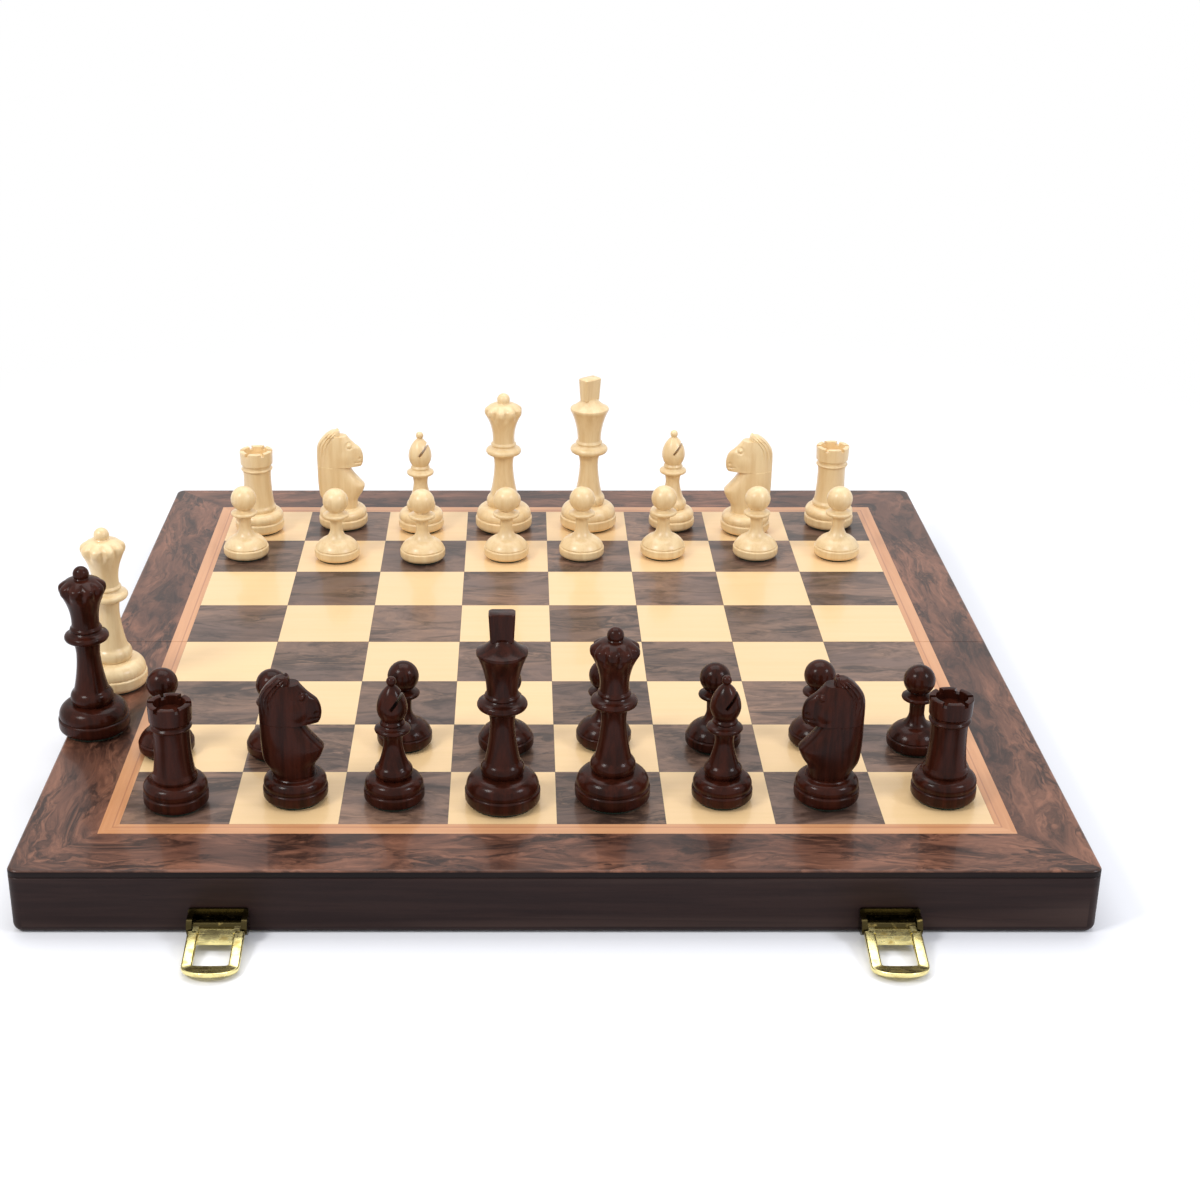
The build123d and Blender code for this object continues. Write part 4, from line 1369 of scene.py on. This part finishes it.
class CHESS_OT_fittings(bpy.types.Operator):
    """Finish the brass: hinges, latch brackets, hasps, keeper plates, pins and screws"""

    bl_idname = "chess.fittings"
    bl_label = "Fittings"

    def execute(self, context):
        props = context.scene.chess_fittings
        stain = props.brass_stain
        brass = brass_material("brass", props.brass, stain, tarnish_low=0.50, tarnish_high=0.72)
        # Brackets, pins, screws and knuckles get the near-black brass: painted shade and dark
        # reflection
        dark = props.brass_painted_shade
        painted_shade_brass = brass_material("brass_painted_shade", dark, stain, tarnish_low=0.62, tarnish_high=0.78)
        finish_nodes(brass, "front_hinge_leaves", "back_hinge_leaves", "hinge_pins", "keeper_plates")
        finish_nodes(brass, "left_hasp", "right_hasp")
        finish_nodes(painted_shade_brass, "latch_brackets", "latch_pins", "front_screws", "back_screws")
        hang_hasps(context, brass, painted_shade_brass)
        return {"FINISHED"}


class CHESS_OT_kings(bpy.types.Operator):
    """Turn both kings, with their squared finials"""

    bl_idname = "chess.kings"
    bl_label = "Kings"

    def execute(self, context):
        stand_pieces(context, "king")
        return {"FINISHED"}


class CHESS_OT_queens(bpy.types.Operator):
    """Turn the queens, with their notched crowns, and the two spare ones"""

    bl_idname = "chess.queens"
    bl_label = "Queens"

    def execute(self, context):
        stand_pieces(context, "queen")
        return {"FINISHED"}


class CHESS_OT_bishops(bpy.types.Operator):
    """Turn the bishops and cut their slits"""

    bl_idname = "chess.bishops"
    bl_label = "Bishops"

    def execute(self, context):
        stand_pieces(context, "bishop")
        return {"FINISHED"}


class CHESS_OT_knights(bpy.types.Operator):
    """Carve the knights, which look towards the middle of the board"""

    bl_idname = "chess.knights"
    bl_label = "Knights"

    def execute(self, context):
        stand_pieces(context, "knight")
        return {"FINISHED"}


class CHESS_OT_rooks(bpy.types.Operator):
    """Turn the rooks and notch their tops"""

    bl_idname = "chess.rooks"
    bl_label = "Rooks"

    def execute(self, context):
        stand_pieces(context, "rook")
        return {"FINISHED"}


class CHESS_OT_pawns(bpy.types.Operator):
    """Turn all the pawns"""

    bl_idname = "chess.pawns"
    bl_label = "Pawns"

    def execute(self, context):
        stand_pieces(context, "pawn")
        return {"FINISHED"}


def area_lamp(context, name, place, aim, size, watts, colour):
    """A soft rectangular lamp that points at a spot."""
    lamp = bpy.data.lights.new(name, "AREA")
    lamp.shape = "RECTANGLE"
    lamp.size, lamp.size_y = size
    lamp.energy = watts
    lamp.color = colour
    holder = bpy.data.objects.new(name, lamp)
    context.scene.collection.objects.link(holder)
    holder.location = place
    holder.rotation_euler = (Vector(aim) - Vector(place)).to_track_quat("-Z", "Y").to_euler()


def stage_world(ambient):
    """Soft light all round; the camera, gloss and glass see plain white."""
    world = bpy.data.worlds.new("studio")
    graph = empty_graph(world)
    path = graph.node("ShaderNodeLightPath").outputs
    seen = graph.math("MAXIMUM", path["Is Camera Ray"], path["Is Transmission Ray"])
    seen = graph.math("MAXIMUM", seen, path["Is Glossy Ray"])
    strength = graph.node("ShaderNodeMapRange", {0: seen, 3: ambient, 4: 1.0}).outputs[0]
    light = graph.node("ShaderNodeBackground", {"Color": WHITE, "Strength": strength})
    graph.node("ShaderNodeOutputWorld", {"Surface": light.outputs[0]})
    return world


def floor_material(colour):
    """Pale paper that fades into the white backdrop away from the set."""
    material = bpy.data.materials.new("floor_paper")
    graph = empty_graph(material)
    place = graph.node("ShaderNodeTexCoord").outputs["Object"]
    far = graph.node("ShaderNodeVectorMath", {0: place}, operation="LENGTH").outputs["Value"]
    grain = graph.noise(place, 900.0, 3.0)["Fac"]
    shade = graph.tint(rgba(colour), grain, 0.04, PAPER_GRAIN_COLOUR)
    matt = {"Base Color": shade, "Roughness": 0.9, "Specular IOR Level": 0.1}
    paper = graph.node("ShaderNodeBsdfPrincipled", matt)
    backdrop = graph.node("ShaderNodeEmission", {"Color": WHITE, "Strength": 1.0})
    path = graph.node("ShaderNodeLightPath").outputs
    seen = graph.math("MAXIMUM", path["Is Camera Ray"], path["Is Glossy Ray"])
    fade = graph.math("MULTIPLY", graph.remap(far, *FLOOR_FADE), seen)
    both = graph.node("ShaderNodeMixShader", {0: fade, 1: paper.outputs[0], 2: backdrop.outputs[0]})
    graph.node("ShaderNodeOutputMaterial", {"Surface": both.outputs[0]})
    return material


class CHESS_OT_stage(bpy.types.Operator):
    """Set the floor, the lamps, the backdrop and the camera"""

    bl_idname = "chess.stage"
    bl_label = "Stage"

    def execute(self, context):
        props = context.scene.chess_stage
        context.scene.view_settings.view_transform = "Standard"
        bm = bmesh.new()
        bmesh.ops.create_grid(bm, x_segments=1, y_segments=1, size=FLOOR_HALF)
        floor = bpy.data.objects.new("floor", to_mesh(bm, "floor"))
        floor.data.materials.append(floor_material(props.floor_colour))
        context.scene.collection.objects.link(floor)
        context.scene.world = stage_world(props.ambient)
        for name, lamp in LAMPS.items():
            area_lamp(context, name, *lamp)
        eye = bpy.data.cameras.new("camera")
        eye.sensor_width = FILM_WIDTH
        eye.lens = props.lens
        eye.shift_x = props.shift_x
        camera = bpy.data.objects.new("camera", eye)
        camera.location = props.camera_place
        camera.rotation_euler = (pi / 2 - props.camera_pitch, 0.0, 0.0)
        context.scene.collection.objects.link(camera)
        context.scene.camera = camera
        return {"FINISHED"}


STEPS = (
    CHESS_OT_stage,
    CHESS_OT_squares,
    CHESS_OT_border,
    CHESS_OT_case,
    CHESS_OT_fittings,
    CHESS_OT_kings,
    CHESS_OT_queens,
    CHESS_OT_bishops,
    CHESS_OT_knights,
    CHESS_OT_rooks,
    CHESS_OT_pawns,
)


class CHESS_PT_panel(bpy.types.Panel):
    """Lists the steps and the sizes and colours that they use"""

    bl_idname = "CHESS_PT_panel"
    bl_label = "Chess set"
    bl_space_type = "VIEW_3D"
    bl_region_type = "UI"
    bl_category = "Chess set"

    def draw(self, context):
        layout = self.layout
        for step in STEPS:
            layout.operator(step.bl_idname)
        for group in PROPERTY_GROUPS:
            column = layout.column()
            values = getattr(context.scene, group)
            for key in values.bl_rna.properties.keys():
                if key not in ("rna_type", "name"):
                    column.prop(values, key)


PROPERTY_GROUPS = {
    "chess_board": ChessBoardProps,
    "chess_pieces": ChessPieceProps,
    "chess_fittings": ChessFittingProps,
    "chess_stage": ChessStageProps,
}


def register():
    for cls in (*PROPERTY_GROUPS.values(), *STEPS, CHESS_PT_panel):
        bpy.utils.register_class(cls)
    for name, cls in PROPERTY_GROUPS.items():
        setattr(bpy.types.Scene, name, PointerProperty(type=cls))


def unregister():
    for name in PROPERTY_GROUPS:
        delattr(bpy.types.Scene, name)
    for cls in reversed((*PROPERTY_GROUPS.values(), *STEPS, CHESS_PT_panel)):
        bpy.utils.unregister_class(cls)


def main():
    register()
    for step in STEPS:
        group, name = step.bl_idname.split(".")
        getattr(getattr(bpy.ops, group), name)()


if __name__ == "__main__":
    main()
